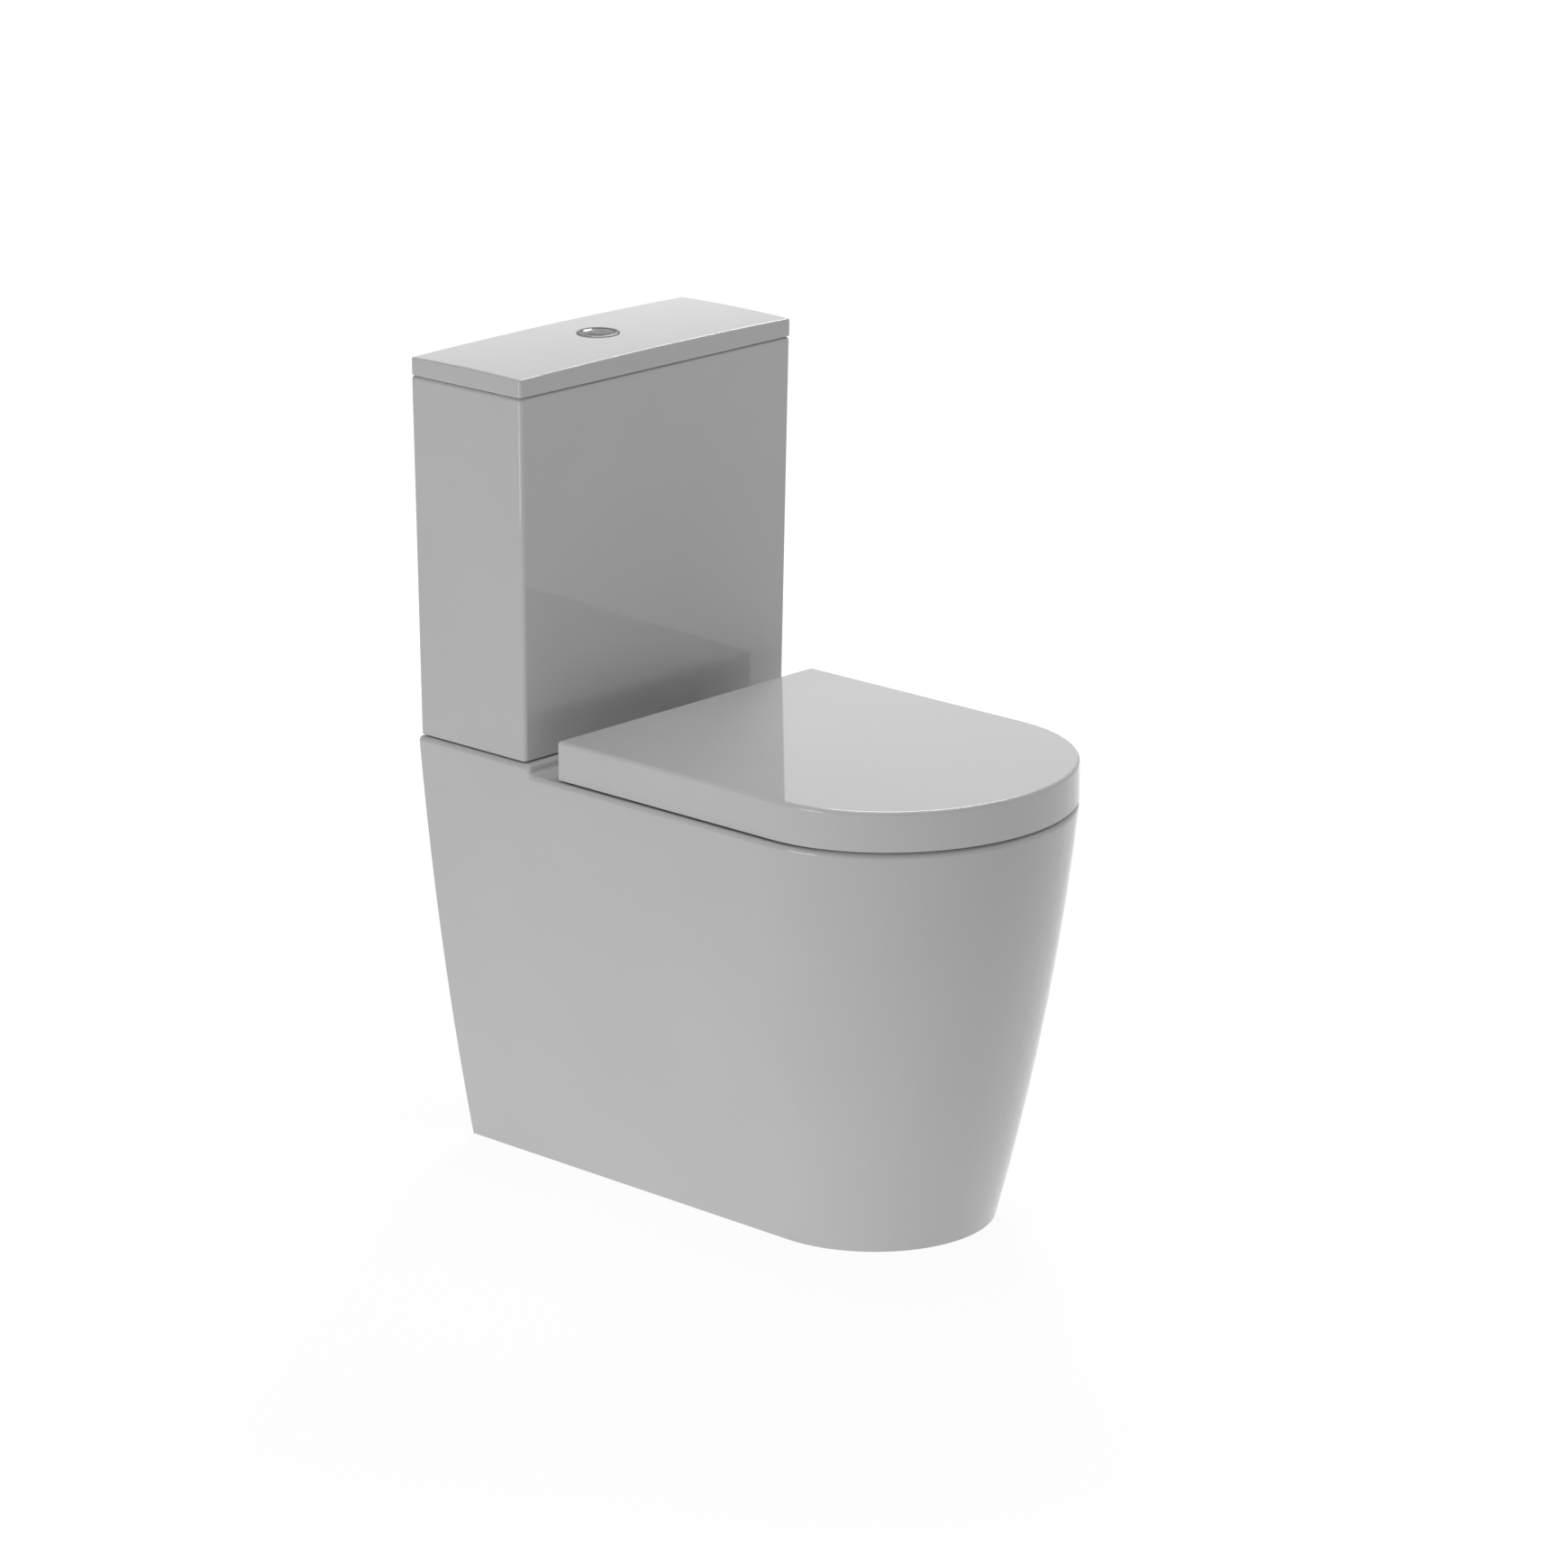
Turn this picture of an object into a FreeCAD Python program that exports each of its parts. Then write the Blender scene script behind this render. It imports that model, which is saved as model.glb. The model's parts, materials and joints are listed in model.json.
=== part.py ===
import FreeCAD, Part
import math
import os

# Back-to-wall close-coupled toilet, in millimetres. +X is to the right of a person facing the wall,
# +Y points back to the wall and +Z is up. The origin is on the floor, midway between the wall plane
# and the front of the rim. Names that end in OUT are distances out from the wall plane, and names
# that end in Z are heights above the floor.

V = FreeCAD.Vector

# Pan body
OVERALL_DEPTH = 637.5
RIM_Z = 424.5
PAN_TOP_WIDTH = 371.0
PAN_SIDE_TAPER = 64.1
PAN_SIDE_BOW = 6.2
PAN_FRONT_TAPER = 77.9
PAN_FRONT_BOW = 9.3
NOSE_TOP_LENGTH = 182.5
NOSE_FOOT_LENGTH = 122.1
PAN_EDGE = 5.0
PAN_WALL = 13.0
DECK_THICKNESS = 18.0
PLATFORM_RISE = 10.0
PLATFORM_MARGIN = 7.0
PLATFORM_THICKNESS = 16.0
STEP_FOOT_RADIUS = 4.0

# Bowl, trap and flush way
RIM_FRONT_WIDTH = 35.0
RIM_SIDE_WIDTH = 47.5
RIM_BACK_WIDTH = 85.3
RIM_INNER_EDGE = 6.0
BOWL_WALL = 11.0
BOWL_CURVE = 1.6
SUMP_SHARE = 0.3015
SUMP_Z = 120.0
SUMP_FLARE = 6.0
TRAP_BORE = 64.0
TRAP_WALL = 9.0
TRAP_BEND = 45.0
TRAP_DIP_Z = 86.0
TRAP_DIP_LENGTH = 82.0
TRAP_RISE_LEAN = 55.0
TRAP_CREST_Z = 215.0
OUTLET_Z = 185.0
TRAP_FALL_LENGTH = 85.0
HORN_DIAMETER = 102.0
HORN_BORE = 82.0
HORN_LENGTH = 60.0
HORN_END_OUT = 30.0
FLUSH_OUT = 68.0
WELL_DIAMETER = 92.0
WELL_DEPTH = 28.0
FLUSH_HOLE = 56.0
DUCT_WIDTH = 64.0
DUCT_HEIGHT = 30.0
DUCT_WALL = 10.0

# Cistern tank
TANK_GAP = 1.0
TANK_HEIGHT = 364.0
TANK_OVERHANG = 3.3
TANK_SIDE_TAPER = 5.4
TANK_TOP_DEPTH = 150.8
TANK_FRONT_TAPER = 5.3
TANK_CORNER = 4.5
TANK_INNER_CORNER = 8.0
TANK_BACK_EDGE = 2.0
TANK_TOP_EDGE = 4.0
TANK_BASE_EDGE = 2.5
TANK_WALL = 11.0
TANK_FLOOR = 13.0
WALL_HOLE_INSET = 63.4
WALL_HOLE_DIAMETER = 9.0
WALL_HOLE_DROP = 100.0

# Bolts between tank and pan
BOLT_TO_WELL = 5.0
BOLT_DIAMETER = 8.0
BOLT_HEAD_DIAMETER = 17.0
BOLT_HEAD_HEIGHT = 5.0
BOLT_TAIL = 12.0
BOLT_HOLE_CLEARANCE = 2.0
CONE_WASHER_DIAMETER = 26.0
CONE_WASHER_HEIGHT = 5.0
REST_WASHER_DIAMETER = 32.0
PLATE_WASHER_DIAMETER = 24.0
PLATE_WASHER_THICKNESS = 1.6
WING_HUB_DIAMETER = 15.0
WING_NUT_HEIGHT = 11.0
WING_SPAN = 38.0
WING_THICKNESS = 3.0

# Cistern lid
LID_GAP = 0.5
LID_OVERHANG = 0.3
LID_SIDE_HEIGHT = 17.7
LID_CROWN_ACROSS = 2.3
LID_CROWN_DEEP = 1.3
LID_CORNER = 3.5
LID_BACK_CORNER = 2.5
LID_INNER_CORNER = 6.0
LID_TOP_EDGE = 2.0
LID_SEAM_EDGE = 1.2
LID_SHELL = 11.0
LID_BAND = 19.0
LID_RIB_LENGTH = 180.0
LID_RIB_THICKNESS = 6.0
LID_RIB_DROP = 9.0
LID_RIB_CLEARANCE = 2.5
LID_PAD_LENGTH = 20.0
LID_PAD_WIDTH = 5.0

# Push button
RING_DIAMETER = 42.6
RING_THICKNESS = 1.8
RING_SEAT_DEPTH = 0.6
HOUSING_DIAMETER = 37.6
HOUSING_BORE = 34.0
HOUSING_DEPTH = 40.0
HOUSING_FLOOR = 2.0
HOUSING_CLEARANCE = 0.7
HOUSING_NUT_DIAMETER = 52.0
HOUSING_NUT_HEIGHT = 6.5
BUTTON_CLEARANCE = 0.4
BUTTON_SET_DOWN = 0.4
BUTTON_HEIGHT = 10.0
BUTTON_DISH_RADIUS = 70.0
SPLIT_OFFSET = -4.0
SPLIT_RADIUS = 30.0
SPLIT_GAP = 0.8
PUSH_ROD_OFFSET = 11.0
PUSH_ROD_DIAMETER = 5.0
PUSH_ROD_CLEARANCE = 0.4
SPRING_DIAMETER = 8.0
SPRING_WIRE = 0.9
SPRING_TURNS = 4
SPRING_END_GAP = 0.3

# Flush valve
VALVE_WASHER = 3.0
VALVE_FLANGE_DIAMETER = 80.0
VALVE_FLANGE = 4.0
SPIGOT_DIAMETER = 57.0
SPIGOT_BORE = 48.0
SPIGOT_LENGTH = 24.0
SPIGOT_CLEARANCE = 1.5
VALVE_LIP_WIDTH = 3.0
VALVE_LIP_HEIGHT = 3.0
BACK_NUT_DIAMETER = 80.0
BACK_NUT_HEIGHT = 10.0
CAGE_DIAMETER = 76.0
CAGE_WALL = 2.5
CAGE_HEIGHT = 92.0
CAGE_WINDOWS = 6
CAGE_WINDOW_WIDTH = 26.0
CAGE_WINDOW_MARGIN = 12.0
BARREL_WALL = 2.5
PLUNGER_TUBE_DIAMETER = 28.0
PLUNGER_TUBE_WALL = 2.5
PLUNGER_CLEARANCE = 0.5
PLUNGER_FOOT_DIAMETER = 62.0
PLUNGER_FOOT = 4.0
FLUSH_SEAL_THICKNESS = 3.8
FLUSH_SEAL_DIAMETER = 64.0
FLUSH_SEAL_BORE = 40.0
SEAT_GAP = 0.2
OVERFLOW_DROP = 25.5
COLLAR_HEIGHT = 8.0
COLLAR_DROP = 8.0
CROSSBAR_WIDTH = 10.0
CROSSBAR_HEIGHT = 5.0

# Levers between the push rods and the flush valve
PIVOT_DROP = 84.0
PIVOT_OFFSET = 21.0
LEVER_IN = 10.0
LEVER_OUT = 20.0
LEVER_THICKNESS = 6.0
LEVER_WIDTH = 10.0
LEVER_HUB_DIAMETER = 11.0
LEVER_PIN_DIAMETER = 5.0
LEVER_PIN_CLEARANCE = 0.05
LEVER_CONTACT_GAP = 0.5
FINGER_THICKNESS = 4.0
FINGER_POST = 4.0
FINGER_POST_GAP = 1.5
BRIDGE_PLATE = 3.0
BRIDGE_SIDE_GAP = 0.4
BRIDGE_HALF_SPAN = 20.5
BRIDGE_MARGIN = 6.5
BRIDGE_DROP = 65.0
HALF_FLOAT_LENGTH = 50.0
HALF_FLOAT_WIDTH = 22.0
HALF_FLOAT_DEPTH = 32.0
HALF_FLOAT_DROP = 100.0
HALF_ROD_WIDTH = 8.0
GUIDE_CLEARANCE = 0.3
GUIDE_WALL = 3.0

# Fill valve and the two inlets
INLET_TO_BOLT = 42.0
INLET_THREAD = 20.9
INLET_HOLE_CLEARANCE = 1.2
INLET_TAIL = 34.0
INLET_RELIEF_WIDTH = 1.5
INLET_RELIEF_DEPTH = 0.6
INLET_WASHER_DIAMETER = 36.0
INLET_WASHER = 2.0
INLET_FLANGE = 4.0
INLET_NUT_ACROSS = 30.0
INLET_NUT_HEIGHT = 8.0
INLET_NUT_ROOM = 5.0
INLET_BORE = 12.0
RISER_DIAMETER = 22.0
HEAD_DIAMETER = 34.0
HEAD_HEIGHT = 24.0
HEAD_DROP = 105.0
FILL_PIVOT_MARGIN = 4.0
FILL_ARM = 24.0
FILL_TIP_DIAMETER = 5.0
FILL_ARM_WIDTH = 10.0
FILL_FORK_GAP = 5.0
FILL_PIN_DIAMETER = 3.0
FILL_EAR = 2.5
FILL_EAR_GAP = 0.4
FLOAT_DIAMETER = 54.0
FLOAT_HEIGHT = 66.0
FLOAT_WALL = 2.0
FLOAT_CLEARANCE = 0.5
FLOAT_DROP = 54.0
FLOAT_STOP = 5.0
FLOAT_STOP_DIAMETER = 29.0
LINK_ROD_DIAMETER = 3.6
LINK_COLLAR_DIAMETER = 8.0
LINK_COLLAR = 2.0
LINK_CONTACT_GAP = 0.8
LINK_LUG_WIDTH = 10.0
LINK_LUG_HEIGHT = 6.0

# Seat cover and ring
COVER_SIDE_MARGIN = 5.1
COVER_FRONT_MARGIN = 1.4
COVER_NOSE_LENGTH = 165.0
COVER_TO_CISTERN = 36.4
COVER_CLEARANCE = 2.0
COVER_HEIGHT = 39.1
COVER_PLATE = 6.0
COVER_SKIRT = 4.5
COVER_TOP_EDGE = 3.5
COVER_BACK_CORNER = 2.0
COVER_BACK_NOTCH = 210.0
RING_SIDE_GAP = 2.2
RING_UNDER_GAP = 5.5
RING_HEIGHT = 24.5
RING_BACK_MARGIN = 25.0
RING_FRONT_WIDTH = 50.0
RING_SIDE_WIDTH = 62.7
RING_BACK_WIDTH = 60.4
RING_OUTER_EDGE = 6.0
RING_INNER_EDGE = 9.0
RING_UNDER_EDGE = 2.0
RING_CORNER = 18.0
BUFFER_DIAMETER = 20.0
BUFFER_SIDE_INSET = 45.4
BUFFER_BACK_INSET = 81.0
BUFFER_FRONT_INSET = 96.1
COVER_BUFFER_DIAMETER = 14.0
BUFFER_GAP = 0.2

# Seat hinges
HINGE_SPACING = 155.0
HINGE_INSET = 6.8
HINGE_RISE = 21.5
HINGE_PIN_DIAMETER = 8.0
HINGE_PIN_CLEARANCE = 0.05
KNUCKLE_DIAMETER = 13.0
KNUCKLE_LENGTH = 20.0
KNUCKLE_GAP = 0.5
POST_WIDTH = 14.0
POST_DEPTH = 12.0
BASE_PLATE_DIAMETER = 42.0
BASE_PLATE_HEIGHT = 4.0
STUD_DIAMETER = 8.0
STUD_LENGTH = 34.0
BUSH_DIAMETER = 14.0
BUSH_CLEARANCE = 0.5
BUSH_BULGE = 5.0
STUD_NUT_ACROSS = 13.0
STUD_NUT_HEIGHT = 6.5

# Widths, heights and distances that follow from the driving dimensions
WALL_Y = OVERALL_DEPTH / 2
PAN_FOOT_WIDTH = PAN_TOP_WIDTH - 2 * PAN_SIDE_TAPER
PAN_FOOT_OUT = OVERALL_DEPTH - PAN_FRONT_TAPER
NOSE_TOP_OUT = OVERALL_DEPTH - NOSE_TOP_LENGTH
NOSE_FOOT_OUT = PAN_FOOT_OUT - NOSE_FOOT_LENGTH
TANK_TOP_WIDTH = PAN_TOP_WIDTH + 2 * TANK_OVERHANG
TANK_FOOT_WIDTH = TANK_TOP_WIDTH - 2 * TANK_SIDE_TAPER
TANK_FOOT_DEPTH = TANK_TOP_DEPTH - TANK_FRONT_TAPER
LID_WIDTH = TANK_TOP_WIDTH + 2 * LID_OVERHANG
LID_DEPTH = TANK_TOP_DEPTH
BROW_Z = RIM_Z - PAN_EDGE
PLATFORM_Z = RIM_Z + PLATFORM_RISE
PLATFORM_OUT = TANK_FOOT_DEPTH + PLATFORM_MARGIN
HOLLOW_TOP_Z = RIM_Z - DECK_THICKNESS
PLATFORM_UNDER_Z = PLATFORM_Z - PLATFORM_THICKNESS
WELL_FLOOR_Z = PLATFORM_Z - WELL_DEPTH
TANK_BASE_Z = PLATFORM_Z + TANK_GAP
TANK_FLOOR_Z = TANK_BASE_Z + TANK_FLOOR
TANK_TOP_Z = TANK_BASE_Z + TANK_HEIGHT
LID_BASE_Z = TANK_TOP_Z + LID_GAP
LID_TOP_Z = LID_BASE_Z + LID_SIDE_HEIGHT + LID_CROWN_ACROSS + LID_CROWN_DEEP
LID_UNDER_Z = LID_BASE_Z + LID_SIDE_HEIGHT - LID_SHELL
RING_SEAT_Z = LID_TOP_Z - RING_SEAT_DEPTH
BUTTON_TOP_Z = RING_SEAT_Z + RING_THICKNESS - BUTTON_SET_DOWN
BUTTON_UNDER_Z = BUTTON_TOP_Z - BUTTON_HEIGHT
HOUSING_BASE_Z = RING_SEAT_Z - HOUSING_DEPTH
VALVE_FLANGE_Z = TANK_FLOOR_Z + VALVE_WASHER
VALVE_TOP_Z = VALVE_FLANGE_Z + VALVE_FLANGE
CAGE_TOP_Z = VALVE_TOP_Z + CAGE_HEIGHT
SEAL_Z = VALVE_TOP_Z + VALVE_LIP_HEIGHT + SEAT_GAP
PLUNGER_FOOT_Z = SEAL_Z + FLUSH_SEAL_THICKNESS
PIVOT_Z = TANK_TOP_Z - PIVOT_DROP
LEVER_TOP_Z = PIVOT_Z + LEVER_THICKNESS / 2
OVERFLOW_Z = PIVOT_Z - OVERFLOW_DROP
BRIDGE_Z = PIVOT_Z - BRIDGE_DROP
BARREL_BORE = PLUNGER_TUBE_DIAMETER + 2 * PLUNGER_CLEARANCE
FINGER_POST_X = PIVOT_OFFSET + LEVER_OUT + LEVER_THICKNESS / 2 + FINGER_POST_GAP
FINGER_UNDER_Z = LEVER_TOP_Z + LEVER_CONTACT_GAP
BOLT_X = WELL_DIAMETER / 2 + DUCT_WALL + WING_SPAN / 2 + BOLT_TO_WELL
INLET_X = BOLT_X + INLET_TO_BOLT
WALL_HOLE_X = TANK_FOOT_WIDTH / 2 - WALL_HOLE_INSET
INLET_FLANGE_Z = TANK_FLOOR_Z + INLET_WASHER
HEAD_Z = TANK_TOP_Z - HEAD_DROP
FILL_PIVOT_X = -INLET_X + HEAD_DIAMETER / 2 + FILL_PIVOT_MARGIN
FILL_PIVOT_Z = HEAD_Z + HEAD_HEIGHT / 2
LINK_X = FILL_PIVOT_X + FILL_ARM
FLOAT_TOP_Z = HEAD_Z - FLOAT_DROP
FLOAT_BASE_Z = FLOAT_TOP_Z - FLOAT_HEIGHT
COVER_WIDTH = PAN_TOP_WIDTH - 2 * COVER_SIDE_MARGIN
COVER_BACK_OUT = LID_DEPTH + COVER_TO_CISTERN
COVER_FRONT_OUT = OVERALL_DEPTH - COVER_FRONT_MARGIN
COVER_NOSE_OUT = COVER_FRONT_OUT - COVER_NOSE_LENGTH
BOWL_BACK_OUT = COVER_BACK_OUT + RIM_BACK_WIDTH
BOWL_LENGTH = OVERALL_DEPTH - RIM_FRONT_WIDTH - BOWL_BACK_OUT
BOWL_WIDTH = PAN_TOP_WIDTH - 2 * RIM_SIDE_WIDTH
BOWL_MIDDLE_OUT = BOWL_BACK_OUT + BOWL_LENGTH / 2
SUMP_OUT = BOWL_BACK_OUT + SUMP_SHARE * BOWL_LENGTH
TRAP_RISE_OUT = SUMP_OUT - TRAP_DIP_LENGTH
TRAP_CREST_OUT = TRAP_RISE_OUT - TRAP_RISE_LEAN
OUTLET_BEND_OUT = TRAP_CREST_OUT - TRAP_FALL_LENGTH
HORN_START_OUT = HORN_END_OUT + HORN_LENGTH
COVER_BASE_Z = RIM_Z + COVER_CLEARANCE
COVER_TOP_Z = COVER_BASE_Z + COVER_HEIGHT
COVER_UNDER_Z = COVER_TOP_Z - COVER_PLATE
RING_BASE_Z = RIM_Z + RING_UNDER_GAP
RING_TOP_Z = RING_BASE_Z + RING_HEIGHT
HINGE_OUT = COVER_BACK_OUT + HINGE_INSET
HINGE_Z = RIM_Z + HINGE_RISE
HINGE_X = HINGE_SPACING / 2
RING_BACK_OUT = HINGE_OUT + RING_BACK_MARGIN
RING_INSET = COVER_SKIRT + RING_SIDE_GAP
RING_HOLE_WIDTH = COVER_WIDTH - 2 * (RING_INSET + RING_SIDE_WIDTH)
RING_HOLE_BACK_OUT = RING_BACK_OUT + RING_BACK_WIDTH
RING_HOLE_LENGTH = COVER_FRONT_OUT - RING_INSET - RING_FRONT_WIDTH - RING_HOLE_BACK_OUT
BUFFER_X = COVER_WIDTH / 2 - BUFFER_SIDE_INSET
BUFFER_BACK_OUT = RING_BACK_OUT + BUFFER_BACK_INSET
BUFFER_FRONT_OUT = COVER_FRONT_OUT - BUFFER_FRONT_INSET


# Basic forms

def y_at(out):
    """Y of a place that lies this far out from the wall."""
    return WALL_Y - out


def upright(x, out, low, high, diameter):
    """A vertical cylinder between two heights."""
    return Part.makeCylinder(diameter / 2, high - low, V(x, y_at(out), low))


def sleeve(x, out, low, high, diameter, bore):
    """A vertical tube between two heights."""
    return upright(x, out, low, high, diameter).cut(upright(x, out, low - 1, high + 1, bore))


def bar_x(x_low, x_high, out, z, diameter):
    """A round bar along X."""
    return Part.makeCylinder(diameter / 2, x_high - x_low, V(x_low, y_at(out), z), V(1, 0, 0))


def bar_y(x, out_low, out_high, z, diameter):
    """A round bar along Y."""
    return Part.makeCylinder(diameter / 2, out_high - out_low, V(x, y_at(out_low), z), V(0, -1, 0))


def block(x_low, x_high, out_low, out_high, z_low, z_high):
    """A box given by its sides."""
    corner = V(x_low, y_at(out_high), z_low)
    return Part.makeBox(x_high - x_low, out_high - out_low, z_high - z_low, corner)


def quarter_ellipse(start, corner, end):
    """A quarter of an ellipse that runs from start to end inside the corner of its box."""
    curve = Part.BezierCurve()
    curve.setPoles([start, corner, end])
    curve.setWeight(2, math.sqrt(0.5))
    return curve.toShape()


def d_outline(half_width, back, nose, front, z):
    """A straight back, straight sides out to the nose line, and an elliptical nose."""
    back_y = y_at(back)
    nose_y = y_at(nose)
    front_y = y_at(front)
    back_left = V(-half_width, back_y, z)
    nose_left = V(-half_width, nose_y, z)
    tip = V(0, front_y, z)
    nose_right = V(half_width, nose_y, z)
    back_right = V(half_width, back_y, z)
    return Part.Wire([
        Part.makeLine(back_left, nose_left),
        quarter_ellipse(nose_left, V(-half_width, front_y, z), tip),
        quarter_ellipse(tip, V(half_width, front_y, z), nose_right),
        Part.makeLine(nose_right, back_right),
        Part.makeLine(back_right, back_left),
    ])


def oval_outline(half_width, half_length, centre_out, z):
    """An ellipse of four quarters, long in the depth direction."""
    y = y_at(centre_out)
    left = V(-half_width, y, z)
    right = V(half_width, y, z)
    front = V(0, y - half_length, z)
    back = V(0, y + half_length, z)
    return Part.Wire([
        quarter_ellipse(left, V(-half_width, y - half_length, z), front),
        quarter_ellipse(front, V(half_width, y - half_length, z), right),
        quarter_ellipse(right, V(half_width, y + half_length, z), back),
        quarter_ellipse(back, V(-half_width, y + half_length, z), left),
    ])


def rounded_outline(half_width, back, front, z, back_radius, front_radius):
    """A rectangle with its back edge and front edge at two distances, and round corners."""
    back_y = y_at(back)
    front_y = y_at(front)
    slant = math.sqrt(0.5)
    corners = [
        (V(-half_width, back_y, z), back_radius, V(1, 0, 0), V(0, -1, 0)),
        (V(-half_width, front_y, z), front_radius, V(0, 1, 0), V(1, 0, 0)),
        (V(half_width, front_y, z), front_radius, V(-1, 0, 0), V(0, 1, 0)),
        (V(half_width, back_y, z), back_radius, V(0, -1, 0), V(-1, 0, 0)),
    ]
    edges = []
    ends = []
    for corner, radius, arriving, leaving in corners:
        start = corner + arriving * radius
        end = corner + leaving * radius
        centre = corner + (arriving + leaving) * radius
        middle = centre - (arriving + leaving) * (radius * slant)
        ends.append((start, end))
        edges.append(Part.Arc(start, middle, end).toShape())
    for index in range(4):
        edges.append(Part.makeLine(ends[index][1], ends[(index + 1) % 4][0]))
    return Part.Wire(Part.__sortEdges__(edges))


def prism(outline, height):
    """An outline pushed straight up."""
    return Part.Face(outline).extrude(V(0, 0, height))


def polygon_prism(x, out, low, high, across, sides):
    """A regular prism, such as a nut, given by the distance across its flats."""
    radius = across / 2 / math.cos(math.pi / sides)
    y = y_at(out)
    points = []
    for index in range(sides + 1):
        angle = 2 * math.pi * (index + 0.5) / sides
        points.append(V(x + radius * math.cos(angle), y + radius * math.sin(angle), low))
    return prism(Part.makePolygon(points), high - low)


def edges_where(shape, test):
    """The edges whose middle point passes the test."""
    return [edge for edge in shape.Edges if test(edge.CenterOfMass)]


def near(value, target):
    """True where a height or a distance is the wanted one."""
    return abs(value - target) < 0.01


def mirrored(shape):
    """The same piece on the other side of the centre plane."""
    return shape.mirror(V(0, 0, 0), V(1, 0, 0))


def pair(shape):
    """A piece and its mirror image, as separate solids of one group."""
    return Part.makeCompound([shape, mirrored(shape)])


# Pan

def bowed(foot, top, bow, z):
    """A profile that swells by the bow half way between the foot and the brow of the rim."""
    share = z / BROW_Z
    return foot + (top - foot) * share + 4 * bow * share * (1 - share)


def pan_section(z, inset, back):
    """The outline of the pan at a height, drawn in by the inset."""
    half_width = bowed(PAN_FOOT_WIDTH / 2, PAN_TOP_WIDTH / 2, PAN_SIDE_BOW, z) - inset
    front = bowed(PAN_FOOT_OUT, OVERALL_DEPTH, PAN_FRONT_BOW, z) - inset
    nose = NOSE_FOOT_OUT + (NOSE_TOP_OUT - NOSE_FOOT_OUT) * z / BROW_Z
    return d_outline(half_width, back, nose, front, z)


def pan_loft(low, high, inset, back):
    """A smooth solid through five sections of the pan."""
    heights = [low + (high - low) * step / 4 for step in range(5)]
    return Part.makeLoft([pan_section(z, inset, back) for z in heights], True, False)


def deck_cutter():
    """What lies above the rim in front of the raised platform, with a rounded foot of the step."""
    side = PAN_TOP_WIDTH
    step_y = y_at(PLATFORM_OUT)
    far_y = y_at(OVERALL_DEPTH + side)
    high = PLATFORM_Z + PLATFORM_RISE
    radius = STEP_FOOT_RADIUS
    slant = radius * math.sqrt(0.5)
    arc_top = V(-side, step_y, RIM_Z + radius)
    arc_middle = V(-side, step_y - radius + slant, RIM_Z + radius - slant)
    arc_foot = V(-side, step_y - radius, RIM_Z)
    profile = Part.Wire([
        Part.makeLine(V(-side, step_y, high), arc_top),
        Part.Arc(arc_top, arc_middle, arc_foot).toShape(),
        Part.makeLine(arc_foot, V(-side, far_y, RIM_Z)),
        Part.makeLine(V(-side, far_y, RIM_Z), V(-side, far_y, high)),
        Part.makeLine(V(-side, far_y, high), V(-side, step_y, high)),
    ])
    return Part.Face(profile).extrude(V(2 * side, 0, 0))


def pan_outside():
    """The outer form of the pan: skirt, rim and raised platform with rounded edges."""
    body = pan_loft(0, PLATFORM_Z, 0, 0).cut(deck_cutter())
    wall_y = WALL_Y
    step_y = y_at(PLATFORM_OUT)

    def top_edge(middle):
        on_rim = near(middle.z, RIM_Z) and abs(middle.x) > BOWL_WALL
        on_platform = near(middle.z, PLATFORM_Z) and middle.y < wall_y - 1
        on_step = abs(middle.x) > PAN_FOOT_WIDTH / 2 and RIM_Z < middle.z < PLATFORM_Z
        return on_rim or on_platform or (on_step and middle.y < step_y + 1)

    return body.makeFillet(PAN_EDGE, edges_where(body, top_edge))


def bowl_loft(grow, low, high):
    """The bowl from its mouth down to the trap, widened by the wall where it is the outside."""
    sump_radius = TRAP_BORE / 2 + SUMP_FLARE
    sections = []
    for step in range(6):
        share = step / 5
        ease = share ** BOWL_CURVE
        half_width = BOWL_WIDTH / 2 + (sump_radius - BOWL_WIDTH / 2) * ease + grow
        half_length = BOWL_LENGTH / 2 + (sump_radius - BOWL_LENGTH / 2) * ease + grow
        centre = BOWL_MIDDLE_OUT + (SUMP_OUT - BOWL_MIDDLE_OUT) * ease
        sections.append(oval_outline(half_width, half_length, centre, high + (low - high) * share))
    return Part.makeLoft(sections, True, False)


def rounded_path(points, radius):
    """Straight runs through the points, joined by arcs of the same radius."""
    edges = []
    here = points[0]
    for before, corner, after in zip(points, points[1:], points[2:]):
        arriving = (corner - before).normalize()
        leaving = (after - corner).normalize()
        turn = arriving.getAngle(leaving)
        reach = radius * math.tan(turn / 2)
        start = corner - arriving * reach
        end = corner + leaving * reach
        inward = (leaving - arriving).normalize()
        middle = corner + inward * (radius / math.cos(turn / 2) - radius)
        edges.append(Part.makeLine(here, start))
        edges.append(Part.Arc(start, middle, end).toShape())
        here = end
    edges.append(Part.makeLine(here, points[-1]))
    return Part.Wire(edges)


def trap_tube(diameter, end_out):
    """The trap from inside the bowl, through its dip and over its crest, to the outlet."""
    places = [
        (SUMP_OUT, SUMP_Z + TRAP_BEND),
        (SUMP_OUT, TRAP_DIP_Z),
        (TRAP_RISE_OUT, TRAP_DIP_Z),
        (TRAP_CREST_OUT, TRAP_CREST_Z),
        (OUTLET_BEND_OUT, OUTLET_Z),
        (end_out, OUTLET_Z),
    ]
    points = [V(0, y_at(out), z) for out, z in places]
    path = rounded_path(points, TRAP_BEND)
    section = Part.Wire(Part.makeCircle(diameter / 2, points[0], V(0, 0, -1)))
    return path.makePipeShell([section], True, False)


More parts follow.
